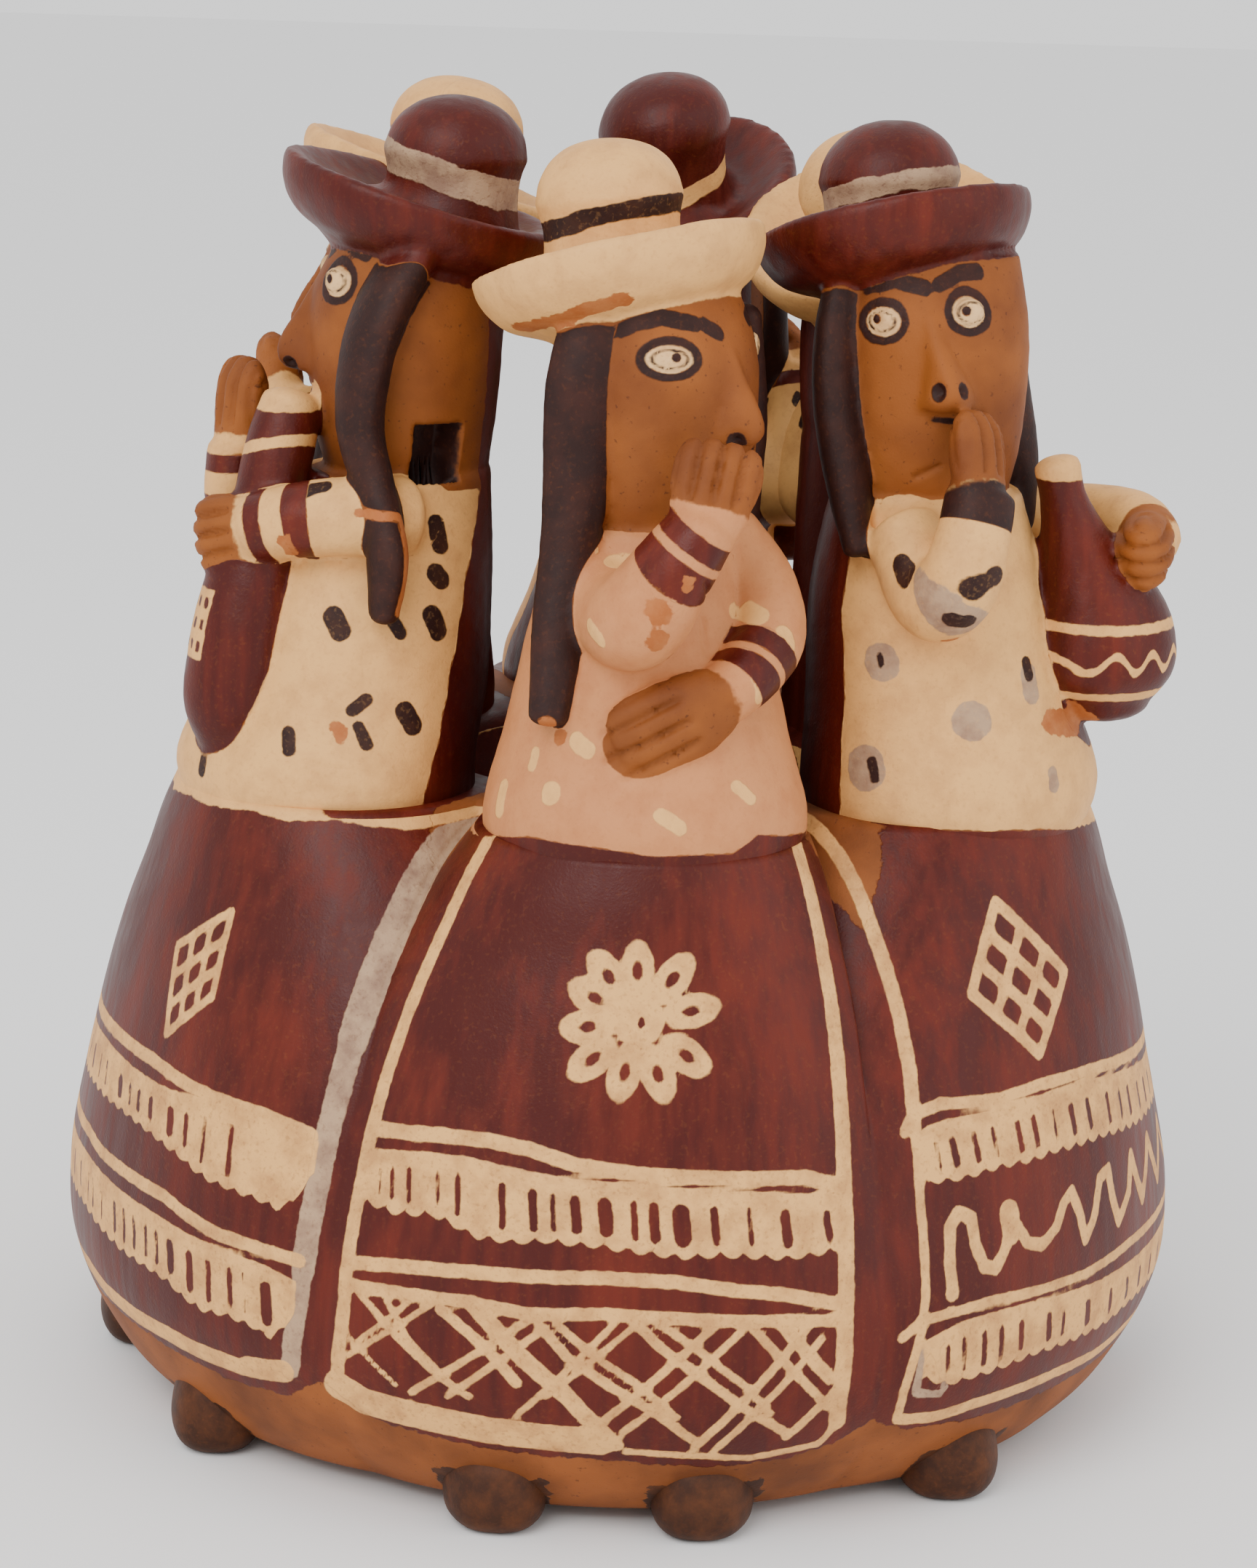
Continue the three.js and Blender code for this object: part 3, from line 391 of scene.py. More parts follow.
LEFT_STROKES = [
    (1, [(-88, 61), (-64.9, 60.8), (-55.5, 60.5), (-48.8, 59.2), (-43.5, 58.6), (-38, 58.2), (-32.5, 56.7)]),
    (1, [(-88, 43.6), (-69.1, 43.6), (-64.2, 42.6), (-57.5, 42.4), (-50.3, 42.2), (-46.3, 40.8), (-42, 39.7),
         (-37.3, 39.5), (-31.7, 39)]),
    (1.5, [(-88, 21.5), (-69.1, 21.9), (-64.1, 20.6), (-56.9, 20.2), (-49.9, 20.4), (-45.7, 20),
    (-39.4, 19.9),
           (-35, 20.6)]),
    (1.9, [(-38, 20.4), (-33.6, 21.4)]),
]
LEFT_FRINGES = [
    {"top": [(-88, 57.6), (-68.6, 58.6), (-58.6, 57.8), (-53, 57.6), (-48, 57.8), (-44, 58.2), (-37.6, 57.8),
             (-31.6, 56)],
     "foot": [(-88, 50), (-69.1, 50.5), (-58.7, 50.4), (-52.9, 49.6), (-48.7, 48.5), (-44.5, 46.7),
         (-41.2, 46.3),
              (-37.6, 46), (-35, 45.3), (-33.4, 46.8), (-31.6, 51)],
     "slots": [(-84, 0.4), (-80, 0.5), (-76, 0.4), (-72.5, 0.5), (-69, 0.3), (-66.5, 0.35), (-62, 0.8),
         (-59.4, 0.4),
               (-57.3, 0.5), (-54.7, 0.6), (-50.9, 0.85), (-48.3, 0.5), (-45.6, 0.35), (-41.9, 0.5)]},
    {"top": [(-88, 39.8), (-69.2, 40.4), (-60, 39.4), (-51.4, 39), (-45.9, 38.2), (-40.1, 37.8),
        (-35.3, 37.2),
             (-31.9, 36)],
     "foot": [(-88, 32), (-68.9, 31.9), (-63.7, 30.9), (-57.8, 29.9), (-53.3, 29.8), (-49.1, 29.4),
         (-46.6, 28),
              (-43.7, 27), (-40, 27.6), (-37.2, 27.2), (-34.8, 26.2), (-33, 28.4), (-31.6, 32)],
     "slots": [(-84, 0.5), (-80, 0.4), (-75, 0.5), (-71, 0.4), (-67.7, 0.3), (-66, 0.3), (-63.3, 0.3),
         (-59.8, 0.5),
               (-57.6, 0.4), (-55.4, 0.5), (-53, 0.45), (-51, 0.45), (-48.6, 0.85), (-45.6, 0.75),
               (-42.9, 0.55),
               (-40, 0.5), (-38.2, 0.2), (-35.4, 1)]},
]
RIGHT_LOZENGE = [(47, 89.3), (54.9, 77.7), (48.3, 67.6), (40.9, 77.5)]
LEFT_LOZENGE = [(-48.9, 84.4), (-48.2, 72.4), (-54.2, 64.8), (-55.9, 77.3)]
FLOWER = (1.6, 78.4)
FLOWER_PETALS = [(-1.6, 84.1), (1.4, 85), (5, 84), (7, 79.7), (6.4, 73.7), (3.6, 71.2), (0.3, 71.4),
    (-2.9, 73),
                 (-3.5, 77.3), (-2.9, 81.2)]
# Bare clay in the notches between the women: azimuth, and height of the lower point.
NOTCHES = [(-28.2, 91), (31.4, 86), (88, 91), (148, 91), (208, 91), (269.5, 91)]
# Lower edge of the red slip: below it the bell is bare clay.
SLIP_HEM = [(-90, 19), (-54.3, 18), (-46, 17.2), (-41.4, 16.6), (-34.2, 17), (-29.3, 21.4), (-24.1, 16.8),
    (-17.3, 15.4),
            (-11.9, 14.4), (-6.1, 14.2), (0.4, 14), (9.3, 12.6), (17.7, 13), (23.1, 15.2), (26.4, 18.4),
            (30.7, 15.6),
            (40.1, 14.4), (53.6, 14.6), (63.8, 15), (90, 16), (150, 17), (210, 17.6), (269, 18.6)]

def srgb(red, green, blue):
    """A colour as seen on a screen, 0 to 255, as the linear colour that materials use."""
    seen = np.array([red, green, blue]) / 255
    return tuple(np.where(seen <= 0.04045, seen / 12.92, ((seen + 0.055) / 1.055) ** 2.4))


def through(at, stations, values):
    """A smooth curve through values at rising stations: cubic pieces whose slopes are central
    differences. at may be an array, and values may hold several columns."""
    at, stations, values = np.asarray(at, float), np.asarray(stations, float), np.asarray(values, float)
    slopes = np.gradient(values, stations, axis=0)
    index = np.clip(np.searchsorted(stations, at, side="right") - 1, 0, len(stations) - 2)
    width = stations[index + 1] - stations[index]
    t = np.clip((at - stations[index]) / width, 0, 1)
    if values.ndim > 1:
        t, width = t[..., None], width[..., None]
    return ((2 * t**3 - 3 * t**2 + 1) * values[index] + (t**3 - 2 * t**2 + t) * width * slopes[index]
            + (3 * t**2 - 2 * t**3) * values[index + 1] + (t**3 - t**2) * width * slopes[index + 1])


def place(points, azimuth):
    """Points [across, out, up] of a woman in the frame of the group: x = across cos a + out sin a and
    y = across sin a - out cos a."""
    a = math.radians(azimuth)
    across, out, up = np.moveaxis(np.asarray(points, float), -1, 0)
    return np.stack([across * math.cos(a) + out * math.sin(a), across * math.sin(a) - out * math.cos(a),
        up], -1)


def own(points, azimuth):
    """The reverse of place: across = x cos a + y sin a and out = x sin a - y cos a."""
    a = math.radians(azimuth)
    x, y, up = np.moveaxis(np.asarray(points, float), -1, 0)
    return np.stack([x * math.cos(a) + y * math.sin(a), x * math.sin(a) - y * math.cos(a), up], -1)


def wander(points, scale, seed):
    """Slow hand-made unevenness from -1 to 1: the mean of sine waves in seeded directions, with wave
    lengths about scale mm."""
    rng = np.random.default_rng(seed)
    waves = rng.normal(size=(7, 3)) * (2 * math.pi / scale) * 0.6
    shifts = rng.uniform(0, 2 * math.pi, 7)
    return np.sin(points @ waves.T + shifts).mean(axis=1)


def skin(rings, first, last):
    """A closed skin over a grid of rings, each with the same number of corners, with a pole at each end.
    Returns (points, quads, triangles), turned so that the faces point outwards by the sign of the volume."""
    rings = np.asarray(rings, float)
    levels, count = rings.shape[:2]
    points = np.concatenate([rings.reshape(-1, 3), [first, last]])
    here = np.arange(levels * count).reshape(levels, count)
    after = np.roll(here, -1, axis=1)
    quads = np.stack([here[:-1], after[:-1], after[1:], here[1:]], -1).reshape(-1, 4)
    start, end = levels * count, levels * count + 1
    fans = np.concatenate([np.stack([np.full(count, start), after[0], here[0]], -1),
                           np.stack([np.full(count, end), here[-1], after[-1]], -1)])
    triangles = np.concatenate([quads[:, [0, 1, 2]], quads[:, [0, 2, 3]], fans])
    a, b, c = (points[triangles[:, k]] for k in range(3))
    if np.einsum("ij,ij->", a, np.cross(b, c)) < 0:
        quads, fans = quads[:, ::-1], fans[:, ::-1]
    return points, quads, fans


def make_mesh(name, shells, smooth=True):
    """One mesh in metres from shells of (points, quads, triangles) in millimetres."""
    points = np.concatenate([shell[0] for shell in shells])
    starts = np.cumsum([0] + [len(shell[0]) for shell in shells[:-1]])
    quads = np.concatenate([shell[1] + start for shell, start in zip(shells, starts)])
    fans = np.concatenate([shell[2] + start for shell, start in zip(shells, starts)])
    mesh = bpy.data.meshes.new(name)
    mesh.vertices.add(len(points))
    mesh.vertices.foreach_set("co", (points * MM).ravel())
    loops = np.concatenate([quads.ravel(), fans.ravel()])
    mesh.loops.add(len(loops))
    mesh.loops.foreach_set("vertex_index", loops.astype(np.int32))
    mesh.polygons.add(len(quads) + len(fans))
    begin = np.concatenate([np.arange(len(quads)) * 4, len(quads) * 4 + np.arange(len(fans)) * 3])
    mesh.polygons.foreach_set("loop_start", begin.astype(np.int32))
    mesh.update(calc_edges=True)
    mesh.validate()
    mesh.polygons.foreach_set("use_smooth", np.full(len(mesh.polygons), smooth))
    return mesh


def tube(rows, rings=36, sides=36, cap=(0.5, 0.5)):
    """A limb, braid or vessel: oval rings carried along the smooth path through the rows (across, out,
    up, half width, half thickness), with rounded ends whose length is cap times the half width."""
    rows = np.asarray(rows, float)
    run = np.concatenate([[0], np.cumsum(np.linalg.norm(np.diff(rows[:, :3], axis=0), axis=1))])
    at = np.linspace(0, run[-1], rings)
    bulk = through(at, run, rows)
    path, half, thick = bulk[:, :3], bulk[:, 3], bulk[:, 4]
    along = np.gradient(path, axis=0)
    along /= np.linalg.norm(along, axis=1)[:, None]
    lean = np.radians([75, 50, 28, 10])
    first = path[0] - along[0] * (half[0] * cap[0] * np.sin(lean))[:, None]
    last = path[-1] + along[-1] * (half[-1] * cap[1] * np.sin(lean[::-1]))[:, None]
    path = np.concatenate([first, path, last])
    half = np.concatenate([half[0] * np.cos(lean), half, half[-1] * np.cos(lean[::-1])])
    thick = np.concatenate([thick[0] * np.cos(lean), thick, thick[-1] * np.cos(lean[::-1])])
    along = np.concatenate([np.repeat(along[:1], 4, 0), along, np.repeat(along[-1:], 4, 0)])
    side = np.cross([0, 1, 0], along[0])
    sides_along = []
    for direction in along:
        side = side - direction * (side @ direction)
        side = side / np.linalg.norm(side)
        sides_along.append(side)
    side = np.array(sides_along)
    front = np.cross(along, side)
    angle = np.linspace(0, 2 * math.pi, sides, endpoint=False)
    grid = (path[:, None] + side[:, None] * (half[:, None] * np.cos(angle))[..., None]
            + front[:, None] * (thick[:, None] * np.sin(angle))[..., None])
    start = path[0] - along[0] * half[0] * 0.02
    end = path[-1] + along[-1] * half[-1] * 0.02
    return skin(grid, start, end)


def hand(wrist, tip, half, thick, fingers=4):
    """A mitten hand: an oval carried from wrist to tip, whose outer face is lobed into fingers that are
    parted by grooves, and whose end is rounded. Grooves are |sin| valleys across the width."""
    wrist, tip = np.asarray(wrist, float), np.asarray(tip, float)
    along = (tip - wrist) / np.linalg.norm(tip - wrist)
    side = np.cross([0, 1, 0], along)
    side /= np.linalg.norm(side)
    front = np.cross(along, side)
    front *= 1 if front[1] > 0 else -1
    part = np.linspace(-0.12, 1, 26)
    angle = np.linspace(0, 2 * math.pi, 72, endpoint=False)
    width = through(part, [-0.12, 0.15, 0.55, 0.8, 0.94, 1], [0.72, 0.88, 1, 0.99, 0.88, 0.68])
    body = through(part, [-0.12, 0.2, 0.6, 0.85, 1], [0.9, 1, 1, 0.85, 0.45])
    across = np.cos(angle)
    lobes = np.abs(np.sin(np.pi * fingers * (across + 1) / 2)) ** 0.6
    cut = np.clip((part - 0.2) / 0.3, 0, 1)[:, None] * np.where(np.sin(angle) > 0, 1, 0.3)
    depth = 1 - 0.3 * cut * (1 - lobes)
    reach = part + 0.06 * np.clip(part - 0.8, 0, 1) / 0.2
    centre = wrist + along * (reach * np.linalg.norm(tip - wrist))[:, None]
    grid = (centre[:, None] + side * (half * width[:, None] * across)[..., None]
            + front * (thick * body[:, None] * depth * np.sin(angle))[..., None])
    return skin(grid, centre[0], centre[-1] + along * 0.5)


def trunk(rows):
    """A trunk: oval rings, one for each height, through the rows (up, across, out, half, depth)."""
    rows = np.asarray(rows, float)
    up = np.linspace(rows[0, 0], rows[-1, 0], 60)
    shape = through(up, rows[:, 0], rows[:, 1:])
    angle = np.linspace(0, 2 * math.pi, 96, endpoint=False)
    grid = np.stack([shape[:, :1] + shape[:, 2:3] * np.cos(angle), shape[:, 1:2] + shape[:,
        3:] * np.sin(angle),
                     np.repeat(up[:, None], 96, 1)], -1)
    return skin(grid, grid[0].mean(0), grid[-1].mean(0))


def from_head(woman, points):
    """Points [side, forward, up] of a head in the frame of its woman: a turn about the upright axis."""
    a = math.radians(woman["turn"])
    side, ahead, up = np.moveaxis(np.asarray(points, float), -1, 0)
    across, out, height = woman["head"]
    return np.stack([across + side * math.cos(a) + ahead * math.sin(a),
                     out - side * math.sin(a) + ahead * math.cos(a), height + up], -1)


def to_head(woman, points):
    """The reverse of from_head."""
    a = math.radians(woman["turn"])
    dx, dy, dz = np.moveaxis(points - np.asarray(woman["head"], float), -1, 0)
    return np.stack([dx * math.cos(a) - dy * math.sin(a), dx * math.sin(a) + dy * math.cos(a), dz], -1)


def head(woman):
    """A head and neck: rings with one reach for the face and one for the back, smooth through HEAD."""
    rows = np.array(HEAD, float)
    up = np.linspace(rows[0, 0], rows[-1, 0], 56)
    half, face, back = through(up, rows[:, 0], rows[:, 1:]).T
    angle = np.linspace(0, 2 * math.pi, 96, endpoint=False)
    reach = np.where(np.sin(angle) > 0, face[:, None], back[:, None])
    grid = np.stack([half[:, None] * np.cos(angle), reach * np.sin(angle), np.repeat(up[:, None], 96, 1)], -1)
    return skin(from_head(woman, grid), from_head(woman, [0, 0, rows[0, 0]]), from_head(woman, [0, 0,
        rows[-1, 0]]))


def nose(woman):
    """A nose: rings of a rounded wedge from between the brows to the tip, cut off below. Each ring is half
    a sine wave that stands out by forward over the face and is twice half wide."""
    rows = np.array([[-4.2, 3.4, 4.7], [-3.2, 4.6, 4.7], [-1.4, 5.1, 4.3], [1.5, 4.1, 3.4], [5, 1.9, 2.7],
                     [9.5, -0.6, 2]])
    up = np.linspace(-4.2, 9.5, 24)
    ahead, half = through(up, rows[:, 0], rows[:, 1:]).T
    lean = woman["bridge"] * np.clip((up + 1) / 9.5, 0, 1)
    angle = np.linspace(0, 2 * math.pi, 40, endpoint=False)
    rise = np.clip(np.sin(angle), 0, 1) ** 1.15
    grid = np.stack([lean[:, None] + half[:, None] * np.cos(angle),
                     FACE - 3 + (ahead[:, None] + 3) * rise + np.minimum(np.sin(angle), 0) * 2,
                     np.repeat(up[:, None], 40, 1)], -1)
    return skin(from_head(woman, grid), from_head(woman, [0, FACE - 1, -4.2]),
                from_head(woman, [woman["bridge"], FACE - 3, 9.5]))


def dot(woman, side_arc, up, radius, rise):
    """A flattened ball on the face at an arc of side_arc mm from straight ahead, standing rise mm out."""
    a = side_arc / 14
    height = np.linspace(-1, 1, 16)[1:-1]
    angle = np.linspace(0, 2 * math.pi, 24, endpoint=False)
    ring = np.sqrt(1 - height**2)[:, None]
    ahead = ring * np.cos(angle) * rise
    beside = ring * np.sin(angle) * radius[0]
    level = np.repeat(height[:, None] * radius[1], 24, 1)
    out = FACE - 0.5 + ahead
    grid = np.stack([out * math.sin(a) + beside * math.cos(a), out * math.cos(a) - beside * math.sin(a),
        up + level], -1)
    base = np.array([math.sin(a), math.cos(a), 0]) * (FACE - 0.5)
    return skin(from_head(woman, grid), from_head(woman, base + [0, 0, up - radius[1]]),
                from_head(woman, base + [0, 0, up + radius[1]]))


def hat_frame(hat):
    """The axes of a hat in its woman's frame: rim middle, foot and top of the crown, side, uphill, normal."""
    turn, rise = math.radians(hat["toward"]), math.radians(hat["tilt"])
    side = np.array([math.cos(turn), -math.sin(turn), 0])
    level = np.array([math.sin(turn), math.cos(turn), 0])
    up = np.array([0, 0, 1.0])
    uphill = level * math.cos(rise) + up * math.sin(rise)
    normal = up * math.cos(rise) - level * math.sin(rise)
    rim, top = np.array(hat["at"], float), np.array(hat["top"], float)
    foot = np.array([*hat["foot"], rim[2]]) - normal
    axis = (top - foot) / np.linalg.norm(top - foot)
    return {"rim": rim, "foot": foot, "top": top, "axis": axis, "side": side, "uphill": uphill,
            "normal": normal, "forward": np.cross(axis, side)}


def hat(woman):
    """A hat: rings of the brim's profile in its tilted plane, then rings of a domed crown about its own
    slanting axis, with the two joined by a smooth run of rings."""
    shape = hat_frame(woman["hat"])
    radius = woman["hat"]["radius"]
    angle = np.linspace(0, 2 * math.pi, 96, endpoint=False)
    sweep = np.arange(len(BRIM))
    profile = through(np.linspace(0, sweep[-1], 46), sweep, BRIM)

    def ring(centre, ahead, reach):
        return centre + reach * (shape["side"] * np.cos(angle)[:, None] + ahead * np.sin(angle)[:, None])

    waver = 1 + 0.012 * np.sin(3 * angle + woman["azimuth"]) + 0.01 * np.sin(5 * angle)
    rings = [shape["rim"] + shape["normal"] * up + (part * radius * waver)[:, None]
             * (shape["side"] * np.cos(angle)[:, None] + shape["uphill"] * np.sin(angle)[:, None])
             for part, up in profile]
    tall = np.linalg.norm(shape["top"] - shape["foot"])
    climb = np.linspace(0, 1, 30)
    wall = tall - CROWN_RADIUS * 0.86
    for step in climb:
        if step < 0.45:
            height = wall * step / 0.45
            reach = CROWN_RADIUS * (1.07 - 0.09 * math.sin(math.pi * step / 0.45))
        else:
            bend = (step - 0.45) / 0.55 * math.pi / 2
            height = wall + (tall - wall) * math.sin(bend)
            reach = CROWN_RADIUS * 1.05 * max(math.cos(bend), 0.02) ** 0.9
        blend = min(1, height / 4)
        ahead = shape["uphill"] * (1 - blend) + shape["forward"] * blend
        rings.append(ring(shape["foot"] + shape["axis"] * height - shape["normal"] * 0.8 * (1 - blend),
            ahead, reach))
    return skin(np.array(rings), shape["rim"] + shape["normal"] * BRIM[0][1], shape["top"])


def limb_distance(points, rows, plump=1.0):
    """Distance in mm from the skin of a limb, and how far along it the nearest place is: the least, over
    the straight pieces of its path, of the distance to the piece less the half width there."""
    rows = np.asarray(rows, float)
    best = np.full(len(points), 1e6)
    run_at = np.zeros(len(points))
    run = 0.0
    for a, b in zip(rows[:-1], rows[1:]):
        span = b[:3] - a[:3]
        length = np.linalg.norm(span)
        t = np.clip((points - a[:3]) @ span / length**2, 0, 1)
        near = np.linalg.norm(points - a[:3] - t[:, None] * span, axis=1)
        girth = (a[3] + a[4]) / 2 + t * ((b[3] + b[4]) - (a[3] + a[4])) / 2
        gap = near - girth * plump
        closer = gap < best
        best = np.where(closer, gap, best)
        run_at = np.where(closer, run + t * length, run_at)
        run += length
    return best, run_at


def stroke_distance(points, strokes, normals=None):
    """Distance in mm from the edge of brush strokes, each a half width and the points of its path. With
    normals, up to 4 mm of an offset square to the surface is left out, so that a stroke which lies a little
    under or over the skin still marks it at its full width."""
    best = np.full(len(points), 8.0)
    for half, path in strokes:
        path = np.asarray(path, float)
        low, high = path.min(0) - half - 8, path.max(0) + half + 8
        close = np.flatnonzero(np.all((points > low) & (points < high), axis=1))
        gap = np.full(len(close), 1e6)
        for a, b in zip(path[:-1], path[1:]):
            span = b - a
            offset = points[close] - a
            offset -= np.clip(offset @ span / max(span @ span, 1e-9), 0, 1)[:, None] * span
            if normals is not None:
                square = np.einsum("ij,ij->i", offset, normals[close])
                offset -= np.clip(square, -4, 4)[:, None] * normals[close]
            gap = np.minimum(gap, np.linalg.norm(offset, axis=1))
        best[close] = np.minimum(best[close], gap - half)
    return best


def bell_radius(angle, height):
    """Radius of the bell at an angle and height: the far side of the skirt's oval, melted into the groove
    floor with a soft maximum. Towards the waist the oval moves across to stand under its own woman."""
    rows = np.array(BELL, float)
    crest, half_width, half_depth, floor = through(height, rows[:, 0], rows[:, 1:]).T
    edges = np.array(GROOVES + [GROOVES[0] + 360])
    turned = (angle - edges[0]) % 360 + edges[0]
    index = np.clip(np.searchsorted(edges, turned, side="right") - 1, 0, 5)
    width = np.diff(edges)[index]
    from_crest = (turned - edges[index] - width / 2) / (width / 2)
    shift = np.array([woman["trunk"][1][1] for woman in WOMEN])[index]
    across = shift * np.clip((height - SHIFT_FROM) / (WAIST - SHIFT_FROM), 0, 1)
    out = crest - half_depth
    a = np.radians(from_crest * 30)
    p = (np.sin(a) / half_width) ** 2 + (np.cos(a) / half_depth) ** 2
    q = np.sin(a) * across / half_width**2 + np.cos(a) * out / half_depth**2
    k = (across / half_width) ** 2 + (out / half_depth) ** 2 - 1
    oval = (q + np.sqrt(np.maximum(q * q - p * k, 0))) / p
    over = np.maximum(0, GROOVE_SOFTNESS - np.abs(oval - floor))
    return np.maximum(oval, floor) + over**2 / (4 * GROOVE_SOFTNESS)


def unrolled(angle, height):
    """Skirt places as flat mm: the angle times the crest radius at that height, and the height."""
    rows = np.array(BELL, float)
    crest = np.interp(height, rows[:, 0], rows[:, 1])
    return np.stack([np.radians(angle) * crest, height], -1)


def fringe(angle, height, band):
    """A painted band with a looped lower edge: inside between its top and foot lines, less upright slots
    where the red shows between the loops. The foot line is scalloped by |cos| waves of 3 mm."""
    top = np.interp(angle, *np.array(band["top"]).T)
    foot = np.interp(angle, *np.array(band["foot"]).T)
    flat = unrolled(angle, height)
    scallop = 0.9 * (1 - np.abs(np.cos(np.pi * flat[:, 0] / 3.3)))
    ends = np.array(band["top"])[[0, -1], 0]
    sides = np.maximum(np.radians(ends[0] - angle), np.radians(angle - ends[1])) * 84
    inside = np.maximum(np.maximum(height - top, foot + scallop - height), sides)
    slots = []
    for at, half in band["slots"]:
        high = np.interp(at, *np.array(band["top"]).T) - 2.3 - half
        low = np.interp(at, *np.array(band["foot"]).T) + 1.7 + half
        slots.append((half, unrolled(np.array([at, at + 0.3]), np.array([high, low]))))
    return np.maximum(inside, -stroke_distance(flat, slots))


def lozenge(corners, count, half):
    """A lattice in a four-cornered frame, as strokes: count lines each way between opposite sides."""
    corners = unrolled(*np.array(corners, float).T)
    strokes = []
    for t in np.linspace(0, 1, count):
        strokes.append((half, [corners[0] + t * (corners[1] - corners[0]),
            corners[3] + t * (corners[2] - corners[3])]))
        strokes.append((half, [corners[0] + t * (corners[3] - corners[0]),
            corners[1] + t * (corners[2] - corners[1])]))
    return strokes


def flower(flat, centre, petals, loop=(3.6, 2), line=0.8):
    """A flower: a disc and petals, each petal the outline of an oval that points away from the middle."""
    middle = unrolled(np.array([centre[0]]), np.array([centre[1]]))[0]
    best = np.linalg.norm(flat - middle, axis=1) - 3.6
    tips = unrolled(*np.array(petals, float).T)
    for tip in tips:
        away = (tip - middle) / np.linalg.norm(tip - middle)
        offset = flat - tip
        along, beside = offset @ away, offset @ np.array([-away[1], away[0]])
        size = np.sqrt((along / loop[0]) ** 2 + (beside / loop[1]) ** 2)
        best = np.minimum(best, np.abs((size - 0.78) * loop[1]) - line)
    hole = np.linalg.norm((flat - middle - [0.4, -0.3]) / [0.55, 0.8], axis=1) - 1
    return np.maximum(best, -hole)


def plain_panel(seed):
    """The paint of a skirt at the back: borders, lines, two fringes and a hem, spaced as on the other skirts.
    Returns strokes and fringes, with slots at seeded places."""
    rng = np.random.default_rng(seed)
    left, right = -25, 25
    strokes = [(1.2, [(left + 3, 100), (left + 1, 76), (left, 50), (left, 20)]),
               (1.2, [(right - 3, 100), (right - 1, 76), (right, 50), (right, 20)]),
               (1, [(left, 60.6), (0, 61.4), (right, 60.2)]), (1, [(left, 41), (0, 41.8),
               (right, 41)]),
               (1.3, [(left, 19.6), (0, 18.6), (right, 19.4)])]
    fringes = []
    for top, foot in ((57.8, 49.6), (38.4, 29.4)):
        at = left + 2.6 + np.cumsum(rng.uniform(2.4, 3.6, 15))
        slots = [(a, rng.uniform(0.35, 0.8)) for a in at if a < right - 2]
        fringes.append({"top": [(left, top), (0, top + 0.6), (right, top)],
                        "foot": [(left, foot), (0, foot - 0.6), (right, foot)], "slots": slots})
    return strokes, fringes


def paint_mask(mesh, name, values):
    """Keeps a painted area on the points of a mesh, as distances in mm, negative inside."""
    layer = mesh.attributes.new(name, "FLOAT", "POINT")
    layer.data.foreach_set("value", np.clip(values, -6, 6).astype(np.float32))


def flat_strokes(strokes):
    """Strokes given by azimuth and height, on the unrolled skirts."""
    return [(half, unrolled(*np.array(path, float).T)) for half, path in strokes]


def skirt_paint(points):
    """The painted areas of the bell, as distances in mm that are negative inside."""
    angle, height = np.degrees(np.arctan2(points[:, 0], -points[:, 1])), points[:, 2]
    radius, flat = np.hypot(points[:, 0], points[:, 1]), unrolled(angle, height)
    cream = np.minimum.reduce(
        [stroke_distance(flat, flat_strokes(FRONT_STROKES + RIGHT_STROKES + LEFT_STROKES)),
         stroke_distance(flat, lozenge(RIGHT_LOZENGE, 4, 0.85) + lozenge(LEFT_LOZENGE, 4, 0.6)),
         flower(flat, FLOWER, FLOWER_PETALS)]
        + [fringe(angle, height, band) for band in [FRONT_FRINGE] + RIGHT_FRINGES + LEFT_FRINGES])
    thin = stroke_distance(flat, flat_strokes(GREY_STROKES))
    for woman in (BACK_RIGHT, BACK, BACK_LEFT):
        turned = (angle - woman["azimuth"] + 180) % 360 - 180
        panel = unrolled(turned, height)
        strokes, bands = plain_panel(int(woman["azimuth"]))
        if woman is BACK:
            petals = [(4.9 * math.cos(a), 78 + 6.4 * math.sin(a)) for a in np.radians(np.arange(10) * 36)]
            cream = np.minimum(cream, flower(panel, (0, 78), petals))
        else:
            corners = [(-1, 87), (6.5, 77), (1, 67), (-6.5, 77.4)]
            cream = np.minimum(cream, stroke_distance(panel, lozenge(corners, 5, 0.7)))
        cream = np.minimum.reduce([cream, stroke_distance(panel, flat_strokes(strokes))]
                                  + [fringe(turned, height, band) for band in bands])
    hem = blouse_hem(angle)
    outside = np.maximum(height - hem, 42 - radius)
    blouse = np.maximum(hem - height, np.where(height > 98.9, 66 - radius, -6))
    slip_hem = np.interp((angle + 90) % 360 - 90, *np.array(SLIP_HEM).T)
    notch = np.full(len(angle), 6.0)
    for azimuth, foot in NOTCHES:
        away = np.abs((angle - azimuth + 180) % 360 - 180)
        notch = np.minimum(notch, away * 0.9 - (height - foot) * 0.45)
    notch = np.maximum(notch, 30 - radius)
    feet = np.array([place([0, FOOT_RING + 2, 0], a) for a in FEET])
    near_foot = np.min(np.linalg.norm(points[:, None, :2] - feet[None, :, :2], axis=2), axis=1)
    return {"slip_area": np.where(height < 40, slip_hem - height, -notch),
            "cream": np.maximum(cream, outside), "thin": np.maximum(thin, outside), "blouse": blouse,
            "pink": np.where(np.abs(angle - FRONT["azimuth"]) < 26.5, blouse, 6),
            "dark": np.maximum(near_foot - 8.6, height - 9)}


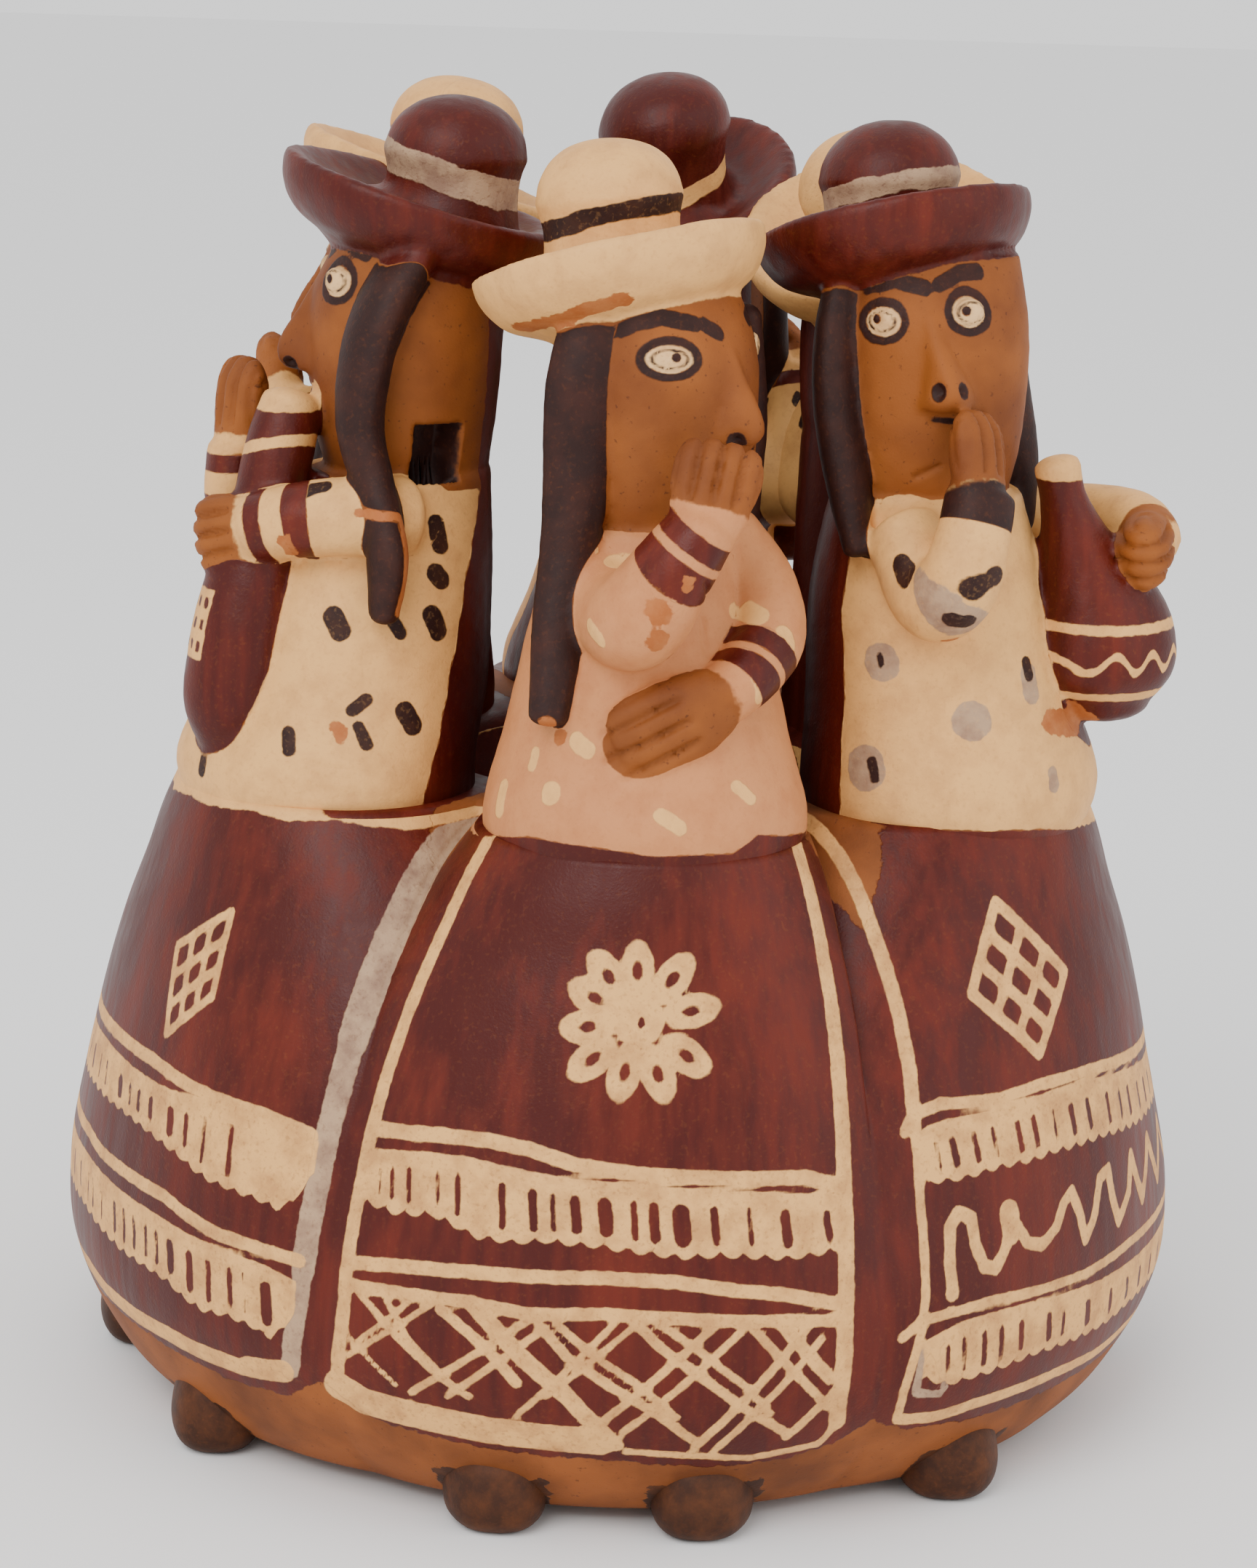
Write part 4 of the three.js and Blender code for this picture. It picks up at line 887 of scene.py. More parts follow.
def skirts(sizes):
    """The bell of six skirts with the hollow in the middle of the ring: a grid of heights by azimuths, closer
    on the skirts in view, closed by a pole below and one on the floor of the well."""
    counts = (180, 140, 84, 84, 84, 140)
    edges = GROOVES + [GROOVES[0] + 360]
    angle = np.concatenate([np.linspace(a, b, n, endpoint=False) for a, b, n in zip(edges[:-1], edges[1:],
        counts)])
    heights = np.concatenate([np.linspace(3, 8, 8)[:-1], np.linspace(8, 96, 108)[:-1], np.linspace(96,
        99.5, 5)])
    grid_angle, grid_height = np.meshgrid(angle, heights)
    radius = bell_radius(grid_angle.ravel(), grid_height.ravel()).reshape(grid_angle.shape)
    along = np.radians(grid_angle)
    outer = np.stack([radius * np.sin(along), -radius * np.cos(along), grid_height], -1)
    uneven = wander(outer.reshape(-1, 3), 55, 3).reshape(radius.shape) * sizes.unevenness * 1000
    radius = radius + uneven * np.clip((grid_height - 3) / 20, 0, 1) - 0.15
    outer = np.stack([radius * np.sin(along), -radius * np.cos(along), grid_height], -1)
    lip = outer[-1]
    ring = np.stack([np.sin(np.radians(angle)), -np.cos(np.radians(angle))], -1)
    inner = []
    for part in (0.35, 0.7, 1):
        level = lip * [1, 1, 1]
        target = ring * WELL[0][0]
        level[:, :2] = lip[:, :2] * (1 - part) + target * part
        level[:, 2] = 99.5 + 0.25 * math.sin(part * math.pi) - 0.5 * part
        inner.append(level)
    for reach, up in [[28, 97.4], [25, 93]] + WELL[1:]:
        inner.append(np.concatenate([ring * reach, np.full((len(ring), 1), up)], 1))
    under = []
    for part, up in ((0.2, 3.3), (0.9, 3.3), (0.985, 3.05)):
        level = outer[0] * [part, part, 1]
        level[:, 2] = up
        under.append(level)
    return skin(np.concatenate([under, outer, inner]), [0, 0, 3.3], [0, 0, WELL_FLOOR])


def woman_shells(woman):
    """All the clay forms of a woman, as closed shells in the frame of the group."""
    shells = [trunk(woman["trunk"]), head(woman), nose(woman), hat(woman)]
    shells += [tube(rows, 40, 32) for rows in woman["braids"]]
    shells += [tube(rows, 40, 40, (0.4, 0.4)) for rows in woman["arms"]]
    shells += [tube(rows, 48, 56, (0.4, 0.4)) for rows in woman["props"]]
    shells += [hand(*rows) for rows in woman["hands"]]
    shells += [dot(woman, arc, up, (wide * 0.62, tall * 0.62), 1.25) for arc, up, wide, tall in woman["eyes"]]
    placed = []
    for points, quads, fans in shells:
        placed.append((place(points, woman["azimuth"]), quads[:, ::-1], fans[:, ::-1]))
    return placed


def fused(name, shells, voxel):
    """One skin of clay over overlapping shells, remeshed to cubes of voxel metres and taken as a new mesh."""
    rough = make_mesh(name, shells)
    obj = bpy.data.objects.new(name, rough)
    bpy.context.scene.collection.objects.link(obj)
    remesh = obj.modifiers.new("fuse", "REMESH")
    remesh.mode = "VOXEL"
    remesh.voxel_size = voxel
    remesh.use_smooth_shade = True
    graph = bpy.context.evaluated_depsgraph_get()
    mesh = bpy.data.meshes.new_from_object(obj.evaluated_get(graph))
    bpy.data.objects.remove(obj)
    bpy.data.meshes.remove(rough)
    mesh.name = name
    return mesh


def soften(points, edges, rounds, part=0.5):
    """Moves every point part of the way to the mean of its neighbours, rounds times."""
    count = np.bincount(edges.ravel(), minlength=len(points))[:, None]
    for _ in range(rounds):
        total = np.stack([np.bincount(edges[:, 0], points[edges[:, 1], k], len(points))
                          + np.bincount(edges[:, 1], points[edges[:, 0], k],
                              len(points)) for k in range(3)], 1)
        points = points + part * (total / count - points)
    return points


def mesh_arrays(mesh):
    """Points in mm, edges and normals of a mesh."""
    points = np.empty(len(mesh.vertices) * 3, np.float32)
    mesh.vertices.foreach_get("co", points)
    normals = np.empty(len(mesh.vertices) * 3, np.float32)
    mesh.vertices.foreach_get("normal", normals)
    edges = np.empty(len(mesh.edges) * 2, np.int32)
    mesh.edges.foreach_get("vertices", edges)
    return (points.reshape(-1, 3).astype(float) / MM, edges.reshape(-1, 2), normals.reshape(-1,
        3).astype(float))


def drop_crumbs(mesh):
    """Takes away the stray cubes that the remesh leaves beside the main skin. Each point takes the least
    number among its neighbours until nothing changes, and only the points with the commonest number stay."""
    points, edges, _ = mesh_arrays(mesh)
    shell = np.arange(len(points))
    while True:
        least = shell.copy()
        np.minimum.at(least, edges[:, 0], shell[edges[:, 1]])
        np.minimum.at(least, edges[:, 1], shell[edges[:, 0]])
        least = least[least]
        if np.array_equal(least, shell):
            break
        shell = least
    crumbs = np.flatnonzero(shell != np.bincount(shell).argmax())
    if len(crumbs):
        skin_mesh = bmesh.new()
        skin_mesh.from_mesh(mesh)
        skin_mesh.verts.ensure_lookup_table()
        bmesh.ops.delete(skin_mesh, geom=[skin_mesh.verts[i] for i in crumbs.tolist()], context="VERTS")
        skin_mesh.to_mesh(mesh)
        skin_mesh.free()


def blouse_hem(azimuth):
    """Height of the blouses' lower edge at an azimuth."""
    return np.interp((azimuth + 70) % 360 - 70, *np.array(BLOUSE_HEM).T)


def regions(woman, local):
    """Which form each point belongs to. The distances to the head, trunk, braids, arms, hands and props are
    compared, and each is kept less the least of the others, so that it is negative on its own form. Also how
    far along each limb the nearest place is, and the points in the head's frame."""
    seen = to_head(woman, local)
    rows = np.array(HEAD, float)
    half, face, back = through(seen[:, 2], rows[:, 0], rows[:, 1:]).T
    reach = np.where(seen[:, 1] > 0, face, back)
    skull = (np.sqrt((seen[:, 0] / half) ** 2 + (seen[:, 1] / reach) ** 2) - 1) * 13
    nose_box = np.max(np.abs(seen - [0, 15, 2]) - [5.2, 6, 8], axis=1) + 0.2
    body = np.array(woman["trunk"], float)
    across, out, wide, deep = through(local[:, 2], body[:, 0], body[:, 1:]).T
    torso = (np.sqrt(((local[:, 0] - across) / wide) ** 2 + ((local[:, 1] - out) / deep) ** 2) - 1) * 17
    over_collar = (local[:, 2] - woman["collar"]) * 2
    forms = {"head": np.minimum(skull, nose_box) + np.maximum(-over_collar, 0),
             "trunk": torso + np.maximum(over_collar, 0)}
    runs = {}
    for kind in ("braids", "arms", "props"):
        for number, limb in enumerate(woman[kind]):
            forms[f"{kind}{number}"], runs[f"{kind}{number}"] = limb_distance(local, limb)
    for number, (wrist, tip, half_hand, thick) in enumerate(woman["hands"]):
        wrist, tip = np.array(wrist, float), np.array(tip, float)
        along = (tip - wrist) / np.linalg.norm(tip - wrist)
        girth = (half_hand * 0.8 + thick) / 2 + 0.5
        palm = [[*wrist, girth, girth], [*(tip - along * 2), girth, girth]]
        forms[f"hands{number}"] = limb_distance(local, palm)[0]
    table = np.array(list(forms.values()))
    least, second = np.sort(table, axis=0)[:2]
    owned = {name: np.where(row <= least + 1e-9, least - second, row - least)
             for name, row in zip(forms, table)}
    return owned, runs, seen


def hat_places(woman, local):
    """Places on a hat: the distance below the underside of the brim, negative on the hat, the height over the
    rim's plane, and the distance from the axis of the crown."""
    shape = hat_frame(woman["hat"])
    from_rim = local - shape["rim"]
    height = from_rim @ shape["normal"]
    reach = np.linalg.norm(from_rim - height[:, None] * shape["normal"], axis=1)
    brim = np.array(BRIM, float)[:5]
    part = np.clip(reach / woman["hat"]["radius"], brim[0, 0], 1)
    edge = np.interp(part, (0.7, 0.9), HAT_EDGE)
    below = through(part, brim[:, 0], brim[:, 1]) - edge - height
    from_foot = local - shape["foot"]
    off_axis = np.linalg.norm(from_foot - (from_foot @ shape["axis"])[:, None] * shape["axis"], axis=1)
    return below, height, off_axis


def finger_lines(woman, local):
    """Distance in mm from the lines between the fingers: three valleys part the width of each hand in four,
    and run from a third of its length to beyond the tip."""
    best = np.full(len(local), 6.0)
    for wrist, tip, half, _ in woman["hands"]:
        wrist, tip = np.array(wrist, float), np.array(tip, float)
        length = np.linalg.norm(tip - wrist)
        along = (tip - wrist) / length
        side = np.cross([0, 1, 0], along)
        side /= np.linalg.norm(side)
        across, run = (local - wrist) @ side, (local - wrist) @ along
        valley = np.abs((across / (half / 2) + 0.5) % 1 - 0.5) * half / 2
        valley = np.maximum(valley, np.abs(across) - half * 0.85)
        best = np.minimum(best, np.maximum(valley, length * 0.3 - run))
    return best


def oval_distance(offset, wide, tall):
    """About the distance in mm from the outline of an upright oval, negative inside."""
    return (np.linalg.norm(offset / [wide, tall], axis=1) - 1) * tall


def vent_distance(local):
    """Distance in mm from the outline of the square vent in the neck of the woman on the left."""
    offset = np.abs(local - VENT_AT) - VENT_HALF
    return np.max(offset, axis=1)


def woman_areas(woman, local):
    """The areas of a woman that are painted or pressed, as distances in mm that are negative inside."""
    owned, runs, seen = regions(woman, local)
    on_hat, over_rim, off_axis = hat_places(woman, local)
    none = np.full(len(local), 6.0)
    ripple = wander(local, 9, 21) * 0.5

    def least(kind):
        return np.minimum.reduce([none] + [owned[name] for name in owned if name.startswith(kind)])

    body = np.array(woman["trunk"], float)
    back_edge = (np.interp(local[:, 2], body[:, 0], body[:, 2]) + woman["back"] + ripple
                 + (131 - local[:, 2]) * woman["back_slope"])
    world = place(local, woman["azimuth"])
    hem = blouse_hem(np.degrees(np.arctan2(world[:, 0], -world[:, 1])))
    hem = np.where(np.hypot(world[:, 0], world[:, 1]) > 60, hem, 96)
    fabric = np.minimum(np.maximum(owned["trunk"], back_edge - local[:, 1]), least("arms"))
    fabric = np.maximum(fabric, hem + ripple * 0.5 - local[:, 2])

    arc = np.arctan2(seen[:, 0], seen[:, 1]) * 14
    face = np.maximum(np.maximum(owned["head"], -on_hat), np.where(seen[:, 1] > -2, -6, 6))
    flat = np.stack([arc, seen[:, 2]], 1)
    white, ink, eye_ring_shade = none, stroke_distance(flat, [(BROW, path) for path in woman["brows"]]), none
    for side, up, wide, tall in woman["eyes"]:
        offset = flat - [side, up]
        ball = oval_distance(offset, wide * 0.7, tall * 0.64)
        pupil = np.linalg.norm(offset - [math.copysign(0.9, woman["turn"]), 0.3], axis=1) - PUPIL
        white = np.minimum(white, ball)
        ink = np.minimum.reduce([ink, np.maximum(oval_distance(offset, wide, tall), -ball), pupil])
        # A thin ring in each eye, painted dark as the shade of a pressed ring.
        eye_ring_shade = np.minimum(eye_ring_shade, np.abs(oval_distance(offset, wide * 0.52, tall * 0.42)) - 0.14)
    # Nostril pits: pressed in by the relief, and painted dark as the shade inside them.
    pits = np.array([[side, FACE + ahead, up] for side, ahead, up in woman["nostrils"]], float)
    nostril_pits_and_shade = np.min(np.linalg.norm(seen[:, None] - pits[None], axis=2), axis=1) - NOSTRIL
    mouth = stroke_distance(flat, [(0.42, woman["mouth"])])

    cuffs = none
    for number, low, high in woman["cuffs"]:
        rows = np.array(woman["arms"][number], float)
        length = np.linalg.norm(np.diff(rows[:, :3], axis=0), axis=1).sum()
        from_wrist = length - runs[f"arms{number}"]
        stripe = np.abs(from_wrist - (low + high) / 2) - (high - low) / 2
        cuffs = np.minimum(cuffs, np.maximum(stripe, owned[f"arms{number}"]))

    face_back = np.maximum(owned["head"], local[:, 1] - (woman["head"][1] - 7.5))
    behind = np.maximum(owned["trunk"], np.minimum(local[:, 1] - back_edge, local[:, 2] - hem))
    red = np.maximum(np.minimum.reduce([least("props"), face_back, behind]), -fabric)
    level, half_band = woman["band"]
    band = np.maximum(np.abs(over_rim - level + ripple) - half_band, off_axis - CROWN_RADIUS * 1.25)
    return {"fabric": np.maximum(fabric, -cuffs), "hair": np.maximum(least("braids") + 0.1, 0.4 - on_hat),
            "white": np.maximum(np.maximum(white, -ink), face), "ink": np.maximum(ink, face),
            "eye_ring_shade": np.maximum(eye_ring_shade, face), "nostril_pits_and_shade": np.maximum(nostril_pits_and_shade, -on_hat), "mouth": np.maximum(mouth,
                face),
            "cuffs": cuffs, "red": red, "props": least("props"), "hat": on_hat,
            "band": np.maximum(band, on_hat), "fingers": np.maximum(finger_lines(woman, local),
                least("hands"))}


def pressed(gap, width):
    """How far a line is pressed in, from 1 inside it down to 0 over its width in mm, as a bell curve."""
    return np.exp(-(np.clip(gap, 0, None) / width) ** 2)


def relief(woman, local, normals, areas):
    """Fine forms pressed into the clay, as mm along the normal: nostrils, mouth, the rims of the eyes, the
    lines between the fingers, cracks and scratches, the vent, and a slight unevenness all over."""
    height = 0.25 * wander(local, 16, 5) + 0.08 * wander(local, 4.5, 6)
    height -= 1.7 * pressed(areas["nostril_pits_and_shade"] + NOSTRIL, 0.95)
    height -= 0.5 * pressed(areas["mouth"] + 0.4, 0.5)
    height -= 0.32 * pressed(np.maximum(np.abs(areas["white"]), areas["ink"] - 1), 0.3)
    height -= 0.8 * pressed(areas["fingers"], 0.45)
    for depth, strokes in woman["cracks"]:
        height -= depth * pressed(stroke_distance(local, strokes, normals), 0.35)
    if woman is LEFT:
        height -= VENT_DEPTH * np.clip(0.5 - vent_distance(local) / 0.7, 0, 1)
    return height


def jug_lines(local):
    """The cream lines of the jug: its mouth, two bands and a wavy line between them."""
    side, out, up = local.T
    wave = 122.3 + 1.3 * np.sin(side + out * 0.25)
    return np.minimum.reduce([np.abs(up - 127.3) - 0.75, np.abs(up - 116.9) - 0.7, np.abs(up - wave) - 0.65,
                              148.6 - up])


def bottle_lines(local):
    """The cream marks of the bottle: its mouth, a ring below it and a chequered patch on the body."""
    side, _, up = local.T
    patch = np.maximum(np.abs(up - 124.5) - 5.2, np.abs(side + 1.5) - 3.4)
    checks = np.maximum(np.abs((up - 122.9) % 3.2 - 1.6) - 0.8, np.abs((side + 2.6) % 2.2 - 1.1) - 0.5)
    return np.minimum.reduce([np.abs(up - 150.4 - 0.3 * side) - 0.9, 155.4 - up, np.maximum(patch, -checks)])


def scattered_spots(woman, local):
    """Spots for a blouse at the back, as short upright strokes at seeded places."""
    rng = np.random.default_rng(int(woman["azimuth"]))
    places = local[rng.choice(len(local), 70, replace=False)]
    return [(rng.uniform(0.8, 1.4), [spot, spot + [0.3, 0, rng.uniform(0.8, 2.4)]]) for spot in places]


def woman_coats(woman, local, normals, areas):
    """The coats of slip on a woman: the areas and marks of each slip, joined by the least distance. The
    dark slip is gone, too, where the clay is rubbed bare. The dark coat also paints shade into the nostril
    pits and the vent, and a thin dark ring in each eye is painted shade of a pressed ring."""
    coats = {name: np.full(len(local), 6.0) for name in FIGURE_COATS}

    def lay(slip, distance):
        coats[slip] = np.minimum(coats[slip], distance)

    for area, slip in woman["slips"].items():
        lay(slip, areas[area])
    lay("red", areas["red"])
    # Hair, ink and the mouth line take the dark coat; in the nostril pits the dark is painted shade.
    for name in ("hair", "ink", "nostril_pits_and_shade", "mouth"):
        lay("dark", areas[name])
    lay("white", areas["white"])
    # Painted shade of the pressed ring in each eye.
    lay("eye_ring_shade", areas["eye_ring_shade"])
    marks = woman["marks"] or [("dark", "fabric", scattered_spots(woman, local))]
    for slip, area, strokes in marks:
        lay(slip, np.maximum(stroke_distance(local, strokes, normals), areas[area] if area else -6))
    coats["dark"] = np.maximum(coats["dark"], -coats["bare"])
    if woman is RIGHT:
        lay("cream", np.maximum(jug_lines(local), areas["props"]))
    if woman is LEFT:
        lay("cream", np.maximum(bottle_lines(local), areas["props"]))
        # The vent is painted dark: painted shade inside the hole.
        lay("dark", vent_distance(local) - 0.35)
    return coats


def build_woman(woman, voxel):
    """A woman: her forms are fused, softened, given their fine relief, and painted."""
    mesh = fused(woman["name"], woman_shells(woman), voxel)
    drop_crumbs(mesh)
    points, edges, normals = mesh_arrays(mesh)
    points = soften(points, edges, 2)
    local, facing = own(points, woman["azimuth"]), own(normals, woman["azimuth"])
    areas = woman_areas(woman, local)
    for name, values in woman_coats(woman, local, facing, areas).items():
        paint_mask(mesh, name, values)
    points = points + normals * relief(woman, local, facing, areas)[:, None]
    mesh.vertices.foreach_set("co", (points * MM).ravel())
    mesh.update()
    return mesh


def socket(group, name, kind, inward=True, value=None):
    """A named input or output of a node group."""
    made = group.interface.new_socket(name, in_out="INPUT" if inward else "OUTPUT", socket_type=kind)
    if value is not None:
        made.default_value = value
    return made


def linked(tree, kind, inputs=None, **settings):
    """A node with its settings, and with inputs that are values or other nodes' sockets."""
    node = tree.nodes.new(kind)
    for key, value in settings.items():
        setattr(node, key, value)
    for key, value in (inputs or {}).items():
        if isinstance(value, bpy.types.NodeSocket):
            tree.links.new(value, node.inputs[key])
        else:
            node.inputs[key].default_value = value
    return node


def sums(tree, operation, a, b=0.0, clamp=False):
    """The output of a Math node."""
    return linked(tree, "ShaderNodeMath", {0: a, 1: b}, operation=operation, use_clamp=clamp).outputs[0]


def brush_group():
    """Node group brushed_paint: one coat of slip over what lies below it. The distance to the painted
    edge is roughened by noise and becomes a mask; noise also thins the coat in patches."""
    group = bpy.data.node_groups.new("brushed_paint", "ShaderNodeTree")
    for name, kind, value in (
            ("Vector", "NodeSocketVector", None), ("Distance", "NodeSocketFloat", 6.0),
            ("Below", "NodeSocketColor", None), ("Paint", "NodeSocketColor", None),
            ("Thin paint", "NodeSocketColor", None), ("Below roughness", "NodeSocketFloat", 0.7),
            ("Paint roughness", "NodeSocketFloat", 0.6), ("Below height", "NodeSocketFloat", 0.0),
            ("Coat height", "NodeSocketFloat", 0.1), ("Ragged", "NodeSocketFloat", 0.4),
            ("Thinning", "NodeSocketFloat", 0.4), ("Gaps", "NodeSocketFloat", 0.1)):
        socket(group, name, kind, True, value)
    for name, kind in (("Color", "NodeSocketColor"), ("Roughness", "NodeSocketFloat"),
        ("Height", "NodeSocketFloat"),
                       ("Cover", "NodeSocketFloat")):
        socket(group, name, kind, False)
    start = group.nodes.new("NodeGroupInput").outputs
    end = group.nodes.new("NodeGroupOutput")
    edge = linked(group, "ShaderNodeTexNoise", {"Vector": start["Vector"], "Scale": 620.0, "Detail": 3.0})
    shake = sums(group, "MULTIPLY", sums(group, "SUBTRACT", edge.outputs["Fac"], 0.5), 2.0)
    moved = sums(group, "ADD", start["Distance"], sums(group, "MULTIPLY", shake, start["Ragged"]))
    mask = linked(group, "ShaderNodeMapRange", {"Value": moved, 1: 0.14, 2: -0.14, 3: 0.0, 4: 1.0},
                  interpolation_type="SMOOTHSTEP").outputs[0]
    blot = linked(group, "ShaderNodeTexNoise", {"Vector": start["Vector"], "Scale": 210.0, "Detail": 4.0,
                                                "Roughness": 0.62})
    patch = linked(group, "ShaderNodeMapRange", {"Value": blot.outputs["Fac"], 1: 0.42, 2: 0.66, 3: 0.0,
        4: 1.0})
    thin = sums(group, "MULTIPLY", patch.outputs[0], start["Thinning"])
    fine = linked(group, "ShaderNodeTexNoise", {"Vector": start["Vector"], "Scale": 1500.0, "Detail": 2.0})
    pore = linked(group, "ShaderNodeMapRange", {"Value": fine.outputs["Fac"], 1: 0.56, 2: 0.72, 3: 0.0,
        4: 1.0})
    gap = sums(group, "MULTIPLY", sums(group, "ADD", pore.outputs[0], sums(group, "MULTIPLY", thin, 0.35)),
               start["Gaps"])
    cover = sums(group, "MULTIPLY", mask, sums(group, "SUBTRACT", 1.0, gap, True))
    coat = linked(group, "ShaderNodeMix", {"Factor": thin, 6: start["Paint"], 7: start["Thin paint"]},
                  data_type="RGBA")
    mixed = linked(group, "ShaderNodeMix", {"Factor": cover, 6: start["Below"], 7: coat.outputs[2]},
                   data_type="RGBA")
    rough = linked(group, "ShaderNodeMix", {"Factor": cover, 2: start["Below roughness"],
                                            3: start["Paint roughness"]}, data_type="FLOAT")
    tall = sums(group, "MULTIPLY", cover, start["Coat height"])
    height = sums(group, "ADD", start["Below height"], sums(group, "MULTIPLY", tall, sums(
        group, "SUBTRACT", 1.25, sums(group, "MULTIPLY", thin, 0.6))))
    for name, value in (("Color", mixed.outputs[2]), ("Roughness", rough.outputs[0]), ("Height", height),
                        ("Cover", cover)):
        group.links.new(value, end.inputs[name])
    return group


def clay_group():
    """Node group fired_clay: the colour of bare fired clay, cloudy at the scale of fingers and speckled with
    grains, and the height of its fine grain."""
    group = bpy.data.node_groups.new("fired_clay", "ShaderNodeTree")
    for name, kind, value in (("Vector", "NodeSocketVector", None), ("Clay", "NodeSocketColor", None),
                              ("Scorched", "NodeSocketColor", None), ("Speckle", "NodeSocketColor", None)):
        socket(group, name, kind, True, value)
    for name, kind in (("Color", "NodeSocketColor"), ("Height", "NodeSocketFloat")):
        socket(group, name, kind, False)
    start = group.nodes.new("NodeGroupInput").outputs
    end = group.nodes.new("NodeGroupOutput")
    cloud = linked(group, "ShaderNodeTexNoise", {"Vector": start["Vector"], "Scale": 70.0, "Detail": 4.0})
    shade = linked(group, "ShaderNodeMapRange", {"Value": cloud.outputs["Fac"], 1: 0.38, 2: 0.68, 3: 0.0,
        4: 1.0})
    tone = linked(group, "ShaderNodeMix", {"Factor": shade.outputs[0], 6: start["Clay"],
        7: start["Scorched"]},
                  data_type="RGBA")
    grain = linked(group, "ShaderNodeTexNoise", {"Vector": start["Vector"], "Scale": 1300.0, "Detail": 2.0})
    fleck = linked(group, "ShaderNodeMapRange", {"Value": grain.outputs["Fac"], 1: 0.66, 2: 0.74, 3: 0.0,
        4: 0.6})
    spotted = linked(group, "ShaderNodeMix", {"Factor": fleck.outputs[0], 6: tone.outputs[2],
                                              7: start["Speckle"]}, data_type="RGBA")
    fine = linked(group, "ShaderNodeTexNoise", {"Vector": start["Vector"], "Scale": 2600.0, "Detail": 2.0})
    height = sums(group, "MULTIPLY", fine.outputs["Fac"], 0.05)
    group.links.new(spotted.outputs[2], end.inputs["Color"])
    group.links.new(height, end.inputs["Height"])
    return group


def burnish_group():
    """Node group burnished_slip: the red slip's colour, streaked by the stone that polished it. Noise that
    is stretched along the height gives the streaks, a wider noise the cloudy thin places."""
    group = bpy.data.node_groups.new("burnished_slip", "ShaderNodeTree")
    for name, kind, value in (("Vector", "NodeSocketVector", None), ("Deep", "NodeSocketColor", None),
                              ("Light", "NodeSocketColor", None), ("Streaks", "NodeSocketFloat", 0.6)):
        socket(group, name, kind, True, value)
    for name, kind in (("Color", "NodeSocketColor"), ("Roughness", "NodeSocketFloat")):
        socket(group, name, kind, False)
    start = group.nodes.new("NodeGroupInput").outputs
    end = group.nodes.new("NodeGroupOutput")
    long = linked(group, "ShaderNodeMapping", {"Vector": start["Vector"], "Scale": (1.0, 1.0, 0.07)})
    streak = linked(group, "ShaderNodeTexNoise", {"Vector": long.outputs[0], "Scale": 520.0, "Detail": 3.0})
    wide = linked(group, "ShaderNodeMapping", {"Vector": start["Vector"], "Scale": (1.0, 1.0, 0.3)})
    cloud = linked(group, "ShaderNodeTexNoise", {"Vector": wide.outputs[0], "Scale": 75.0, "Detail": 4.0})
    both = sums(group, "ADD", sums(group, "MULTIPLY", sums(group, "SUBTRACT", streak.outputs["Fac"], 0.5),
                                   start["Streaks"]), cloud.outputs["Fac"])
    shade = linked(group, "ShaderNodeMapRange", {"Value": both, 1: 0.4, 2: 0.74, 3: 0.0, 4: 1.0})
    tone = linked(group, "ShaderNodeMix", {"Factor": shade.outputs[0], 6: start["Deep"], 7: start["Light"]},
                  data_type="RGBA")
    rough = linked(group, "ShaderNodeMapRange", {"Value": streak.outputs["Fac"], 1: 0.3, 2: 0.7, 3: 0.36,
        4: 0.5})
    group.links.new(tone.outputs[2], end.inputs["Color"])
    group.links.new(rough.outputs[0], end.inputs["Roughness"])
    return group


